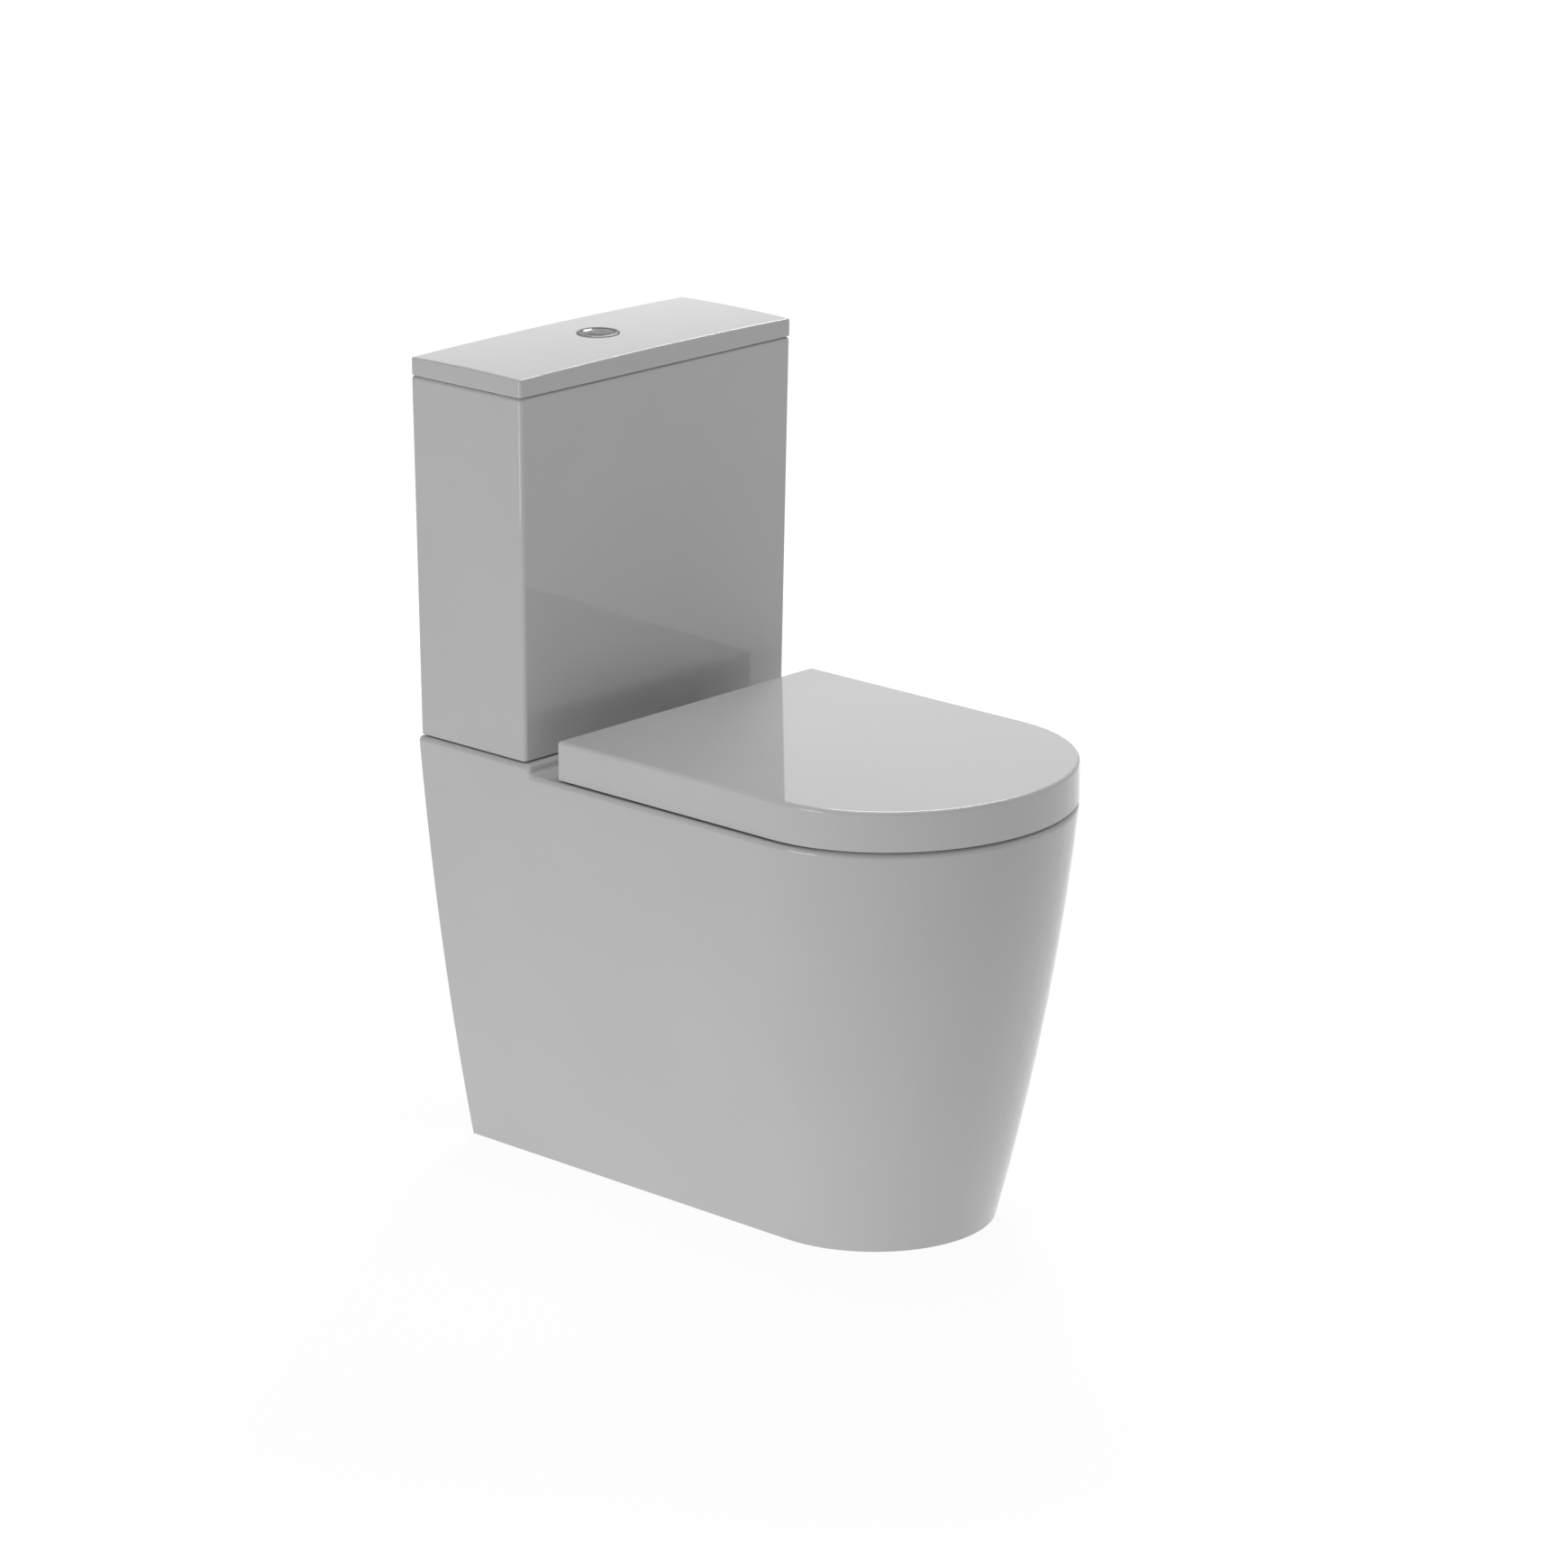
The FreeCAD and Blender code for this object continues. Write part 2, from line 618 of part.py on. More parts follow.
def duct_box(grow, front):
    """The flush duct under the deck, from below the cistern forward to the bowl."""
    half = DUCT_WIDTH / 2 + grow
    high = HOLLOW_TOP_Z - DUCT_WALL + grow
    low = HOLLOW_TOP_Z - DUCT_WALL - DUCT_HEIGHT - grow
    return block(-half, half, FLUSH_OUT - DUCT_WIDTH / 2, front, low, high)


def bowl_outside():
    """The outer form of the bowl, from the underside of the deck down to below the sump."""
    return bowl_loft(BOWL_WALL, SUMP_Z - BOWL_WALL, HOLLOW_TOP_Z)


def bowl_space():
    """The open inside of the bowl, up through its mouth in the rim."""
    return bowl_loft(0, SUMP_Z, RIM_Z + BOWL_WALL)


def trap_space():
    """The water way of the trap and the outlet."""
    outlet = bar_y(0, HORN_END_OUT - 1, HORN_START_OUT - TRAP_WALL, OUTLET_Z, HORN_BORE)
    return [trap_tube(TRAP_BORE, HORN_START_OUT - 2 * TRAP_WALL), outlet]


def pan_shell():
    """The casting that shows: skirt, deck, rim and raised platform, open at the back and below."""
    hollow = pan_loft(-PAN_WALL, HOLLOW_TOP_Z, PAN_WALL, -PAN_WALL)
    half_pocket = PAN_TOP_WIDTH / 2 - PAN_WALL - PAN_EDGE
    pocket = block(-half_pocket, half_pocket, -PAN_WALL, PLATFORM_OUT - PAN_WALL,
                   HOLLOW_TOP_Z - 1, PLATFORM_UNDER_Z)
    bolt_hole = BOLT_DIAMETER + 2 * BOLT_HOLE_CLEARANCE
    inlet_hole = INLET_NUT_ACROSS / math.cos(math.pi / 6) + 2 * INLET_NUT_ROOM
    bush_hole = BUSH_DIAMETER + 2 * BUSH_CLEARANCE
    low = PLATFORM_UNDER_Z - 1
    high = PLATFORM_Z + 1
    cuts = [hollow, pocket, bowl_space(), upright(0, FLUSH_OUT, low, high, WELL_DIAMETER)]
    for side in (-1, 1):
        cuts.append(upright(side * BOLT_X, FLUSH_OUT, low, high, bolt_hole))
        cuts.append(upright(side * INLET_X, FLUSH_OUT, low, high, inlet_hole))
        cuts.append(upright(side * HINGE_X, HINGE_OUT, HOLLOW_TOP_Z - 1, RIM_Z + 1, bush_hole))
    body = pan_outside().cut(cuts)
    mouth_y = y_at(BOWL_MIDDLE_OUT)

    def mouth_edge(middle):
        inside = abs(middle.x) < BOWL_WIDTH / 2 and abs(middle.y - mouth_y) < BOWL_LENGTH / 2
        return inside and near(middle.z, RIM_Z) and abs(middle.x) > BOWL_WALL

    return body.makeFillet(RIM_INNER_EDGE, edges_where(body, mouth_edge))


def pan_bowl():
    """The bowl casting, stuck under the deck, with the flush inlet and the way into the trap."""
    inlet = duct_box(0, BOWL_BACK_OUT + BOWL_WALL)
    return bowl_outside().cut([bowl_space(), inlet] + trap_space())


def pan_trapway():
    """The trap casting behind the bowl, with the horn that the drain connector goes over."""
    tube = trap_tube(TRAP_BORE + 2 * TRAP_WALL, HORN_START_OUT - TRAP_WALL)
    horn = bar_y(0, HORN_END_OUT, HORN_START_OUT, OUTLET_Z, HORN_DIAMETER)
    return tube.fuse(horn).cut([bowl_outside()] + trap_space())


def pan_flush_duct():
    """The well under the flush valve, and the duct that leads its water forward to the bowl."""
    duct_low = HOLLOW_TOP_Z - 2 * DUCT_WALL - DUCT_HEIGHT
    boss = upright(0, FLUSH_OUT, duct_low, PLATFORM_UNDER_Z, WELL_DIAMETER + 2 * DUCT_WALL)
    duct_roof = HOLLOW_TOP_Z - DUCT_WALL
    cuts = [
        upright(0, FLUSH_OUT, WELL_FLOOR_Z, PLATFORM_Z, WELL_DIAMETER),
        upright(0, FLUSH_OUT, duct_roof - 1, WELL_FLOOR_Z + 1, FLUSH_HOLE),
        duct_box(0, BOWL_BACK_OUT + BOWL_WALL),
        bowl_outside(),
    ]
    return boss.fuse(duct_box(DUCT_WALL, BOWL_BACK_OUT)).cut(cuts)


# Cistern tank and lid

def tapered_box(low_half, low_front, low, high_half, high_front, high):
    """A flat-sided box with an upright back on the wall plane, which widens with its height."""
    box = Part.makeWedge(-low_half, low, 0, 0, -high_half, low_half, high, low_front, high_front, high_half)
    box.rotate(V(0, 0, 0), V(1, 0, 0), 90)
    box.translate(V(0, WALL_Y, 0))
    return box


def tank_outside():
    """The outer form of the tank, with front corners, rims and then the edge at the wall rounded."""
    body = tapered_box(TANK_FOOT_WIDTH / 2, TANK_FOOT_DEPTH, TANK_BASE_Z,
                       TANK_TOP_WIDTH / 2, TANK_TOP_DEPTH, TANK_TOP_Z)
    middle_z = TANK_BASE_Z + TANK_HEIGHT / 2

    def front_corner(middle):
        return near(middle.z, middle_z) and middle.y < WALL_Y - TANK_FOOT_DEPTH / 2

    def top_rim(middle):
        return near(middle.z, TANK_TOP_Z) and not near(middle.y, WALL_Y)

    def base_rim(middle):
        return near(middle.z, TANK_BASE_Z) and not near(middle.y, WALL_Y)

    body = body.makeFillet(TANK_CORNER, edges_where(body, front_corner))
    body = body.makeFillet(TANK_TOP_EDGE, edges_where(body, top_rim))
    body = body.makeFillet(TANK_BASE_EDGE, edges_where(body, base_rim))
    return body.makeFillet(TANK_BACK_EDGE, edges_where(body, lambda middle: near(middle.y, WALL_Y)))


def cistern_tank():
    """The tank, which tapers a little towards its base, with its floor and wall holes."""
    taper = TANK_SIDE_TAPER / TANK_HEIGHT
    lean = TANK_FRONT_TAPER / TANK_HEIGHT
    floor_half = TANK_FOOT_WIDTH / 2 - TANK_WALL + taper * TANK_FLOOR
    floor_front = TANK_FOOT_DEPTH - TANK_WALL + lean * TANK_FLOOR
    inside = Part.makeLoft([
        rounded_outline(floor_half, TANK_WALL, floor_front, TANK_FLOOR_Z,
                        TANK_INNER_CORNER, TANK_INNER_CORNER),
        rounded_outline(TANK_TOP_WIDTH / 2 - TANK_WALL, TANK_WALL, TANK_TOP_DEPTH - TANK_WALL,
                        TANK_TOP_Z, TANK_INNER_CORNER, TANK_INNER_CORNER),
    ], True, True)
    low = TANK_BASE_Z - 1
    high = TANK_FLOOR_Z + 1
    holes = [inside, upright(0, FLUSH_OUT, low, high, SPIGOT_DIAMETER + 2 * SPIGOT_CLEARANCE)]
    bolt_hole = BOLT_DIAMETER + 2 * BOLT_HOLE_CLEARANCE
    inlet_hole = INLET_THREAD + 2 * INLET_HOLE_CLEARANCE
    for side in (-1, 1):
        holes.append(upright(side * BOLT_X, FLUSH_OUT, low, high, bolt_hole))
        holes.append(upright(side * INLET_X, FLUSH_OUT, low, high, inlet_hole))
        holes.append(bar_y(side * WALL_HOLE_X, -1, TANK_WALL + 1, TANK_TOP_Z - WALL_HOLE_DROP,
                           WALL_HOLE_DIAMETER))
    return tank_outside().cut(holes)


def crowned_block(half_width, depth, top_z, low_z):
    """A block whose top is crowned across its width and, more gently, from front to back."""
    across_radius = (half_width ** 2 + LID_CROWN_ACROSS ** 2) / (2 * LID_CROWN_ACROSS)
    deep_radius = ((depth / 2) ** 2 + LID_CROWN_DEEP ** 2) / (2 * LID_CROWN_DEEP)
    middle_y = y_at(depth / 2)
    reach = half_width * 1.1
    drop = across_radius - math.sqrt(across_radius ** 2 - reach ** 2)
    left = V(-reach, middle_y, top_z - drop)
    right = V(reach, middle_y, top_z - drop)
    low_left = V(-reach, middle_y, low_z)
    low_right = V(reach, middle_y, low_z)
    profile = Part.Wire([
        Part.Arc(left, V(0, middle_y, top_z), right).toShape(),
        Part.makeLine(right, low_right),
        Part.makeLine(low_right, low_left),
        Part.makeLine(low_left, left),
    ])
    axis_point = V(0, middle_y, top_z - deep_radius)
    half_turn = math.degrees(math.asin(depth * 0.6 / deep_radius))
    face = Part.Face(profile)
    face.rotate(axis_point, V(1, 0, 0), -half_turn)
    return face.revolve(axis_point, V(1, 0, 0), 2 * half_turn)


def cistern_lid():
    """The crowned lid, hollow underneath, with locating ribs and the hole for the button."""
    half = LID_WIDTH / 2
    outline = rounded_outline(half, 0, LID_DEPTH, LID_BASE_Z, LID_BACK_CORNER, LID_CORNER)
    slab = prism(outline, 2 * LID_SIDE_HEIGHT)
    crown = crowned_block(half, LID_DEPTH, LID_TOP_Z, LID_BASE_Z - LID_SIDE_HEIGHT)
    slab = slab.common(crown)
    seam = edges_where(slab, lambda middle: near(middle.z, LID_BASE_Z))
    slab = slab.makeFillet(LID_SEAM_EDGE, seam)
    upper_z = LID_BASE_Z + LID_SIDE_HEIGHT - LID_CROWN_ACROSS
    top = edges_where(slab, lambda middle: middle.z > upper_z)
    slab = slab.makeFillet(LID_TOP_EDGE, top)
    recess = prism(
        rounded_outline(half - LID_BAND, LID_BAND, LID_DEPTH - LID_BAND, LID_BASE_Z - 1,
                        LID_INNER_CORNER, LID_INNER_CORNER),
        LID_UNDER_Z - LID_BASE_Z + 1)
    slab = slab.cut(recess)
    inner = TANK_WALL + LID_RIB_CLEARANCE
    ribs = []
    for low in (inner, TANK_TOP_DEPTH - inner - LID_RIB_THICKNESS):
        ribs.append(block(-LID_RIB_LENGTH / 2, LID_RIB_LENGTH / 2, low, low + LID_RIB_THICKNESS,
                          LID_BASE_Z - LID_RIB_DROP, LID_BASE_Z + 1))
    slab = slab.multiFuse(ribs)
    button_hole = HOUSING_DIAMETER + 2 * HOUSING_CLEARANCE
    holes = [
        upright(0, FLUSH_OUT, LID_BASE_Z - 1, LID_TOP_Z + 1, button_hole),
        upright(0, FLUSH_OUT, RING_SEAT_Z, LID_TOP_Z + 1, RING_DIAMETER + 2 * HOUSING_CLEARANCE),
    ]
    return slab.cut(holes)


def lid_pads():
    """Four thin silicone pads between the lid and the top of the tank walls."""
    pads = []
    half = TANK_TOP_WIDTH / 2 - TANK_WALL
    inset = (TANK_TOP_EDGE + TANK_WALL) / 2
    for middle in (inset, TANK_TOP_DEPTH - inset):
        for side in (-1, 1):
            x = side * (half - LID_PAD_LENGTH)
            pads.append(block(x - LID_PAD_LENGTH / 2, x + LID_PAD_LENGTH / 2,
                              middle - LID_PAD_WIDTH / 2, middle + LID_PAD_WIDTH / 2,
                              TANK_TOP_Z, LID_BASE_Z))
    return Part.makeCompound(pads)


# Push button

def button_housing():
    """The chrome ring and the threaded cup below it, in which both buttons slide."""
    ring = upright(0, FLUSH_OUT, RING_SEAT_Z, RING_SEAT_Z + RING_THICKNESS, RING_DIAMETER)
    rim = edges_where(ring, lambda middle: near(middle.z, RING_SEAT_Z + RING_THICKNESS))
    ring = ring.makeFillet(RING_THICKNESS * 0.6, rim)
    cup = upright(0, FLUSH_OUT, HOUSING_BASE_Z, RING_SEAT_Z + 0.5, HOUSING_DIAMETER)
    bore = upright(0, FLUSH_OUT, HOUSING_BASE_Z + HOUSING_FLOOR, LID_TOP_Z + RING_THICKNESS + 1,
                   HOUSING_BORE)
    cuts = [bore]
    for side in (-1, 1):
        cuts.append(upright(side * PUSH_ROD_OFFSET, FLUSH_OUT, HOUSING_BASE_Z - 1,
                            HOUSING_BASE_Z + HOUSING_FLOOR + 1,
                            PUSH_ROD_DIAMETER + 2 * PUSH_ROD_CLEARANCE))
    return ring.fuse(cup).cut(cuts)


def housing_nut():
    """The plastic nut that clamps the button housing from below the lid."""
    low = LID_UNDER_Z - HOUSING_NUT_HEIGHT
    nut = polygon_prism(0, FLUSH_OUT, low, LID_UNDER_Z, HOUSING_NUT_DIAMETER, 8)
    bore = HOUSING_DIAMETER + 2 * BUTTON_CLEARANCE
    return nut.cut(upright(0, FLUSH_OUT, low - 1, LID_UNDER_Z + 1, bore))


def button_disc():
    """The dished disc that both buttons are cut from."""
    disc = upright(0, FLUSH_OUT, BUTTON_UNDER_Z, BUTTON_TOP_Z, HOUSING_BORE - 2 * BUTTON_CLEARANCE)
    edge_radius = HOUSING_BORE / 2 - BUTTON_CLEARANCE
    rise = math.sqrt(BUTTON_DISH_RADIUS ** 2 - edge_radius ** 2)
    dish = Part.makeSphere(BUTTON_DISH_RADIUS, V(0, y_at(FLUSH_OUT), BUTTON_TOP_Z + rise))
    return disc.cut(dish)


def split_cutter(radius):
    """A cylinder whose side is the curved line between the two buttons."""
    return upright(SPLIT_OFFSET + SPLIT_RADIUS, FLUSH_OUT, BUTTON_UNDER_Z - 1, BUTTON_TOP_Z + 1,
                   2 * radius)


def full_flush_button():
    """The larger, right-hand button."""
    return button_disc().common(split_cutter(SPLIT_RADIUS - SPLIT_GAP / 2))


def half_flush_button():
    """The smaller, left-hand button."""
    return button_disc().cut(split_cutter(SPLIT_RADIUS + SPLIT_GAP / 2))


def push_rod(side):
    """A rod from the underside of a button down to its lever, with a ball end."""
    x = side * PUSH_ROD_OFFSET
    ball_z = LEVER_TOP_Z + LEVER_CONTACT_GAP + PUSH_ROD_DIAMETER / 2
    rod = upright(x, FLUSH_OUT, ball_z, BUTTON_UNDER_Z, PUSH_ROD_DIAMETER)
    return rod.fuse(Part.makeSphere(PUSH_ROD_DIAMETER / 2, V(x, y_at(FLUSH_OUT), ball_z)))


def button_spring(side):
    """A coil spring round a push rod, between the housing floor and the button."""
    low = HOUSING_BASE_Z + HOUSING_FLOOR + SPRING_END_GAP + SPRING_WIRE / 2
    high = BUTTON_UNDER_Z - SPRING_END_GAP - SPRING_WIRE / 2
    radius = (SPRING_DIAMETER - SPRING_WIRE) / 2
    x = side * PUSH_ROD_OFFSET
    y = y_at(FLUSH_OUT)
    helix = Part.makeHelix((high - low) / SPRING_TURNS, high - low, radius)
    helix.translate(V(x, y, low))
    half = SPRING_WIRE / 2
    start = V(x + radius, y, low)
    square = Part.makePolygon([
        start + V(-half, 0, -half),
        start + V(half, 0, -half),
        start + V(half, 0, half),
        start + V(-half, 0, half),
        start + V(-half, 0, -half),
    ])
    return Part.Wire(helix).makePipeShell([square], True, True)


# Joint between tank and pan

def coupling_seal():
    """The thick foam ring between the back nut and the well in the platform."""
    top = TANK_BASE_Z - BACK_NUT_HEIGHT
    bore = SPIGOT_DIAMETER + 2 * SPIGOT_CLEARANCE
    outer = upright(0, FLUSH_OUT, WELL_FLOOR_Z, top, WELL_DIAMETER - 2 * SPIGOT_CLEARANCE)
    lower = edges_where(outer, lambda middle: near(middle.z, WELL_FLOOR_Z))
    outer = outer.makeChamfer(SPIGOT_CLEARANCE * 2, lower)
    return outer.cut(upright(0, FLUSH_OUT, WELL_FLOOR_Z - 1, top + 1, bore))


def cistern_bolts():
    """Two bolts with round heads in the tank and tails below the wing nuts."""
    x = BOLT_X
    head_z = TANK_FLOOR_Z + CONE_WASHER_HEIGHT
    tail_z = PLATFORM_UNDER_Z - PLATE_WASHER_THICKNESS - WING_NUT_HEIGHT - BOLT_TAIL
    head = upright(x, FLUSH_OUT, head_z, head_z + BOLT_HEAD_HEIGHT, BOLT_HEAD_DIAMETER)
    crown = edges_where(head, lambda middle: near(middle.z, head_z + BOLT_HEAD_HEIGHT))
    head = head.makeChamfer(BOLT_HEAD_HEIGHT / 3, crown)
    bolt = head.fuse(upright(x, FLUSH_OUT, tail_z, head_z + 1, BOLT_DIAMETER))
    slot = block(x - BOLT_HEAD_DIAMETER, x + BOLT_HEAD_DIAMETER, FLUSH_OUT - 1, FLUSH_OUT + 1,
                 head_z + BOLT_HEAD_HEIGHT / 2, head_z + BOLT_HEAD_HEIGHT + 1)
    return pair(bolt.cut(slot))


def washer(x, low, high, diameter, bore):
    """A flat washer round one of the upright bolts or threads."""
    return sleeve(x, FLUSH_OUT, low, high, diameter, bore)


def bolt_bore():
    """The hole of everything that is threaded over a cistern bolt."""
    return BOLT_DIAMETER + 2 * LEVER_PIN_CLEARANCE


def bolt_cone_washers():
    """Rubber cones that seal the bolt holes inside the tank."""
    x = BOLT_X
    high = TANK_FLOOR_Z + CONE_WASHER_HEIGHT
    cone = Part.makeCone(CONE_WASHER_DIAMETER / 2, BOLT_HEAD_DIAMETER / 2, CONE_WASHER_HEIGHT,
                         V(x, y_at(FLUSH_OUT), TANK_FLOOR_Z))
    return pair(cone.cut(upright(x, FLUSH_OUT, TANK_FLOOR_Z - 1, high + 1, bolt_bore())))


def bolt_rest_washers():
    """Thin rubber washers that keep the china of the tank off the china of the pan."""
    return pair(washer(BOLT_X, PLATFORM_Z, TANK_BASE_Z, REST_WASHER_DIAMETER, bolt_bore()))


def bolt_plate_washers():
    """Steel washers under the platform."""
    low = PLATFORM_UNDER_Z - PLATE_WASHER_THICKNESS
    return pair(washer(BOLT_X, low, PLATFORM_UNDER_Z, PLATE_WASHER_DIAMETER, bolt_bore()))


def wing_nuts():
    """Wing nuts on the tails of the bolts."""
    x = BOLT_X
    high = PLATFORM_UNDER_Z - PLATE_WASHER_THICKNESS
    low = high - WING_NUT_HEIGHT
    hub = upright(x, FLUSH_OUT, low, high, WING_HUB_DIAMETER)
    wing = block(x - WING_THICKNESS / 2, x + WING_THICKNESS / 2, FLUSH_OUT - WING_SPAN / 2,
                 FLUSH_OUT + WING_SPAN / 2, low, high - WING_THICKNESS)
    tips = edges_where(wing, lambda middle: abs(middle.y - y_at(FLUSH_OUT)) > WING_SPAN / 2 - 0.1
                       and near(middle.x, x))
    wing = wing.makeFillet(WING_THICKNESS, tips)
    nut = hub.fuse(wing)
    return pair(nut.cut(upright(x, FLUSH_OUT, low - 1, high + 1, bolt_bore())))


# Flush valve

def outlet_valve_base():
    """The flange on the tank floor, the sealing lip and the spigot through the floor."""
    flange = upright(0, FLUSH_OUT, VALVE_FLANGE_Z, VALVE_TOP_Z, VALVE_FLANGE_DIAMETER)
    lip = upright(0, FLUSH_OUT, VALVE_TOP_Z - 1, VALVE_TOP_Z + VALVE_LIP_HEIGHT,
                  SPIGOT_BORE + 2 * VALVE_LIP_WIDTH)
    low = TANK_BASE_Z - SPIGOT_LENGTH
    spigot = upright(0, FLUSH_OUT, low, VALVE_FLANGE_Z + 1, SPIGOT_DIAMETER)
    bore = upright(0, FLUSH_OUT, low - 1, VALVE_TOP_Z + VALVE_LIP_HEIGHT + 1, SPIGOT_BORE)
    return flange.multiFuse([lip, spigot]).cut(bore)


def outlet_valve_washer():
    """The rubber washer under the flange of the flush valve."""
    return washer(0, TANK_FLOOR_Z, VALVE_FLANGE_Z, VALVE_FLANGE_DIAMETER,
                  SPIGOT_DIAMETER + SPIGOT_CLEARANCE)


def outlet_valve_back_nut():
    """The large nut that clamps the flush valve from below the tank."""
    low = TANK_BASE_Z - BACK_NUT_HEIGHT
    nut = polygon_prism(0, FLUSH_OUT, low, TANK_BASE_Z, BACK_NUT_DIAMETER, 8)
    return nut.cut(upright(0, FLUSH_OUT, low - 1, TANK_BASE_Z + 1, SPIGOT_DIAMETER + 0.2))


def cage_windows():
    """The openings round the foot of the cage, where the water runs in."""
    low = VALVE_TOP_Z + CAGE_WINDOW_MARGIN
    high = CAGE_TOP_Z - CAGE_WINDOW_MARGIN
    centre = V(0, y_at(FLUSH_OUT), 0)
    windows = []
    for index in range(CAGE_WINDOWS // 2):
        window = block(-CAGE_DIAMETER, CAGE_DIAMETER, FLUSH_OUT - CAGE_WINDOW_WIDTH / 2,
                       FLUSH_OUT + CAGE_WINDOW_WIDTH / 2, low, high)
        window.rotate(centre, V(0, 0, 1), index * 360 / CAGE_WINDOWS)
        windows.append(window)
    return windows


def bridge_plates():
    """Two upright plates on the barrel that hold the lever pins."""
    half_length = PIVOT_OFFSET + BRIDGE_MARGIN
    plates = []
    for side in (-1, 1):
        near_out = FLUSH_OUT + side * BRIDGE_HALF_SPAN
        far_out = FLUSH_OUT + side * (BRIDGE_HALF_SPAN + BRIDGE_PLATE)
        plate = block(-half_length, half_length, min(near_out, far_out), max(near_out, far_out),
                      BRIDGE_Z, PIVOT_Z + BRIDGE_MARGIN)
        lower = edges_where(plate, lambda middle: near(abs(middle.x), half_length)
                            and near(middle.z, BRIDGE_Z))
        plates.append(plate.makeChamfer(half_length * 0.6, lower))
    return plates


def half_rod_guide(grow):
    """The post of the half-flush float, or the slot for it where it is grown by a clearance."""
    x = FINGER_POST_X + FINGER_POST / 2
    half = FINGER_POST / 2 + grow
    deep = HALF_ROD_WIDTH / 2 + grow
    return block(-x - half, -x + half, FLUSH_OUT - deep, FLUSH_OUT + deep,
                 BRIDGE_Z - HALF_FLOAT_DROP, LEVER_TOP_Z + 2 * FINGER_THICKNESS)


def outlet_valve_cage():
    """The fixed cage with its windows, the barrel that guides the overflow tube, and the bridge."""
    barrel_diameter = BARREL_BORE + 2 * BARREL_WALL
    cage = sleeve(0, FLUSH_OUT, VALVE_TOP_Z, CAGE_TOP_Z, CAGE_DIAMETER, CAGE_DIAMETER - 2 * CAGE_WALL)
    cage = cage.cut(cage_windows())
    roof = upright(0, FLUSH_OUT, CAGE_TOP_Z - CAGE_WALL, CAGE_TOP_Z, CAGE_DIAMETER)
    bridge_low = BRIDGE_Z
    bridge_high = BRIDGE_Z + BRIDGE_PLATE * 2
    barrel = upright(0, FLUSH_OUT, CAGE_TOP_Z - 1, bridge_high, barrel_diameter)
    disc = upright(0, FLUSH_OUT, bridge_low, bridge_high,
                   2 * (BRIDGE_HALF_SPAN + BRIDGE_PLATE + BRIDGE_SIDE_GAP))
    guide_end = FINGER_POST_X + FINGER_POST + GUIDE_CLEARANCE + GUIDE_WALL
    guide_half = HALF_ROD_WIDTH / 2 + GUIDE_CLEARANCE + GUIDE_WALL
    arm = block(-guide_end, 0, FLUSH_OUT - guide_half, FLUSH_OUT + guide_half, bridge_low, bridge_high)
    body = cage.multiFuse([roof, barrel, disc, arm] + bridge_plates())
    cuts = [
        upright(0, FLUSH_OUT, CAGE_TOP_Z - CAGE_WALL - 1, bridge_high + 1, BARREL_BORE),
        half_rod_guide(GUIDE_CLEARANCE),
    ]
    span = BRIDGE_HALF_SPAN + BRIDGE_PLATE + 1
    for side in (-1, 1):
        cuts.append(bar_y(side * PIVOT_OFFSET, FLUSH_OUT - span, FLUSH_OUT + span, PIVOT_Z,
                          LEVER_PIN_DIAMETER + LEVER_PIN_CLEARANCE))
    return body.cut(cuts)


def lever_pins():
    """The two pins that the levers turn on."""
    span = BRIDGE_HALF_SPAN + BRIDGE_PLATE
    return pair(bar_y(PIVOT_OFFSET, FLUSH_OUT - span, FLUSH_OUT + span, PIVOT_Z, LEVER_PIN_DIAMETER))


def flush_lever():
    """The right-hand lever: its inner end is pushed down, and its outer end lifts a finger."""
    inner = PIVOT_OFFSET - LEVER_IN
    outer = PIVOT_OFFSET + LEVER_OUT
    half = LEVER_WIDTH / 2
    arm = block(inner, outer, FLUSH_OUT - half, FLUSH_OUT + half, PIVOT_Z - LEVER_THICKNESS / 2,
                LEVER_TOP_Z)
    ends = [bar_y(x, FLUSH_OUT - half, FLUSH_OUT + half, PIVOT_Z, LEVER_THICKNESS)
            for x in (inner, outer)]
    hub_half = BRIDGE_HALF_SPAN - BRIDGE_SIDE_GAP
    hub = bar_y(PIVOT_OFFSET, FLUSH_OUT - hub_half, FLUSH_OUT + hub_half, PIVOT_Z,
                LEVER_HUB_DIAMETER)
    bore = bar_y(PIVOT_OFFSET, FLUSH_OUT - hub_half - 1, FLUSH_OUT + hub_half + 1, PIVOT_Z,
                 LEVER_PIN_DIAMETER + 2 * LEVER_PIN_CLEARANCE)
    return arm.multiFuse(ends + [hub]).cut(bore)


def lift_finger():
    """The post beside the right-hand lever with a finger over the lever's outer end."""
    inner = FINGER_POST_X - FINGER_POST_GAP - LEVER_THICKNESS
    outer = FINGER_POST_X + FINGER_POST
    half = CROSSBAR_WIDTH / 2
    crossbar_z = OVERFLOW_Z - COLLAR_DROP - COLLAR_HEIGHT
    post = block(FINGER_POST_X, outer, FLUSH_OUT - half, FLUSH_OUT + half, crossbar_z,
                 FINGER_UNDER_Z + FINGER_THICKNESS)
    finger = block(inner, outer, FLUSH_OUT - half, FLUSH_OUT + half, FINGER_UNDER_Z,
                   FINGER_UNDER_Z + FINGER_THICKNESS)
    return post.fuse(finger)


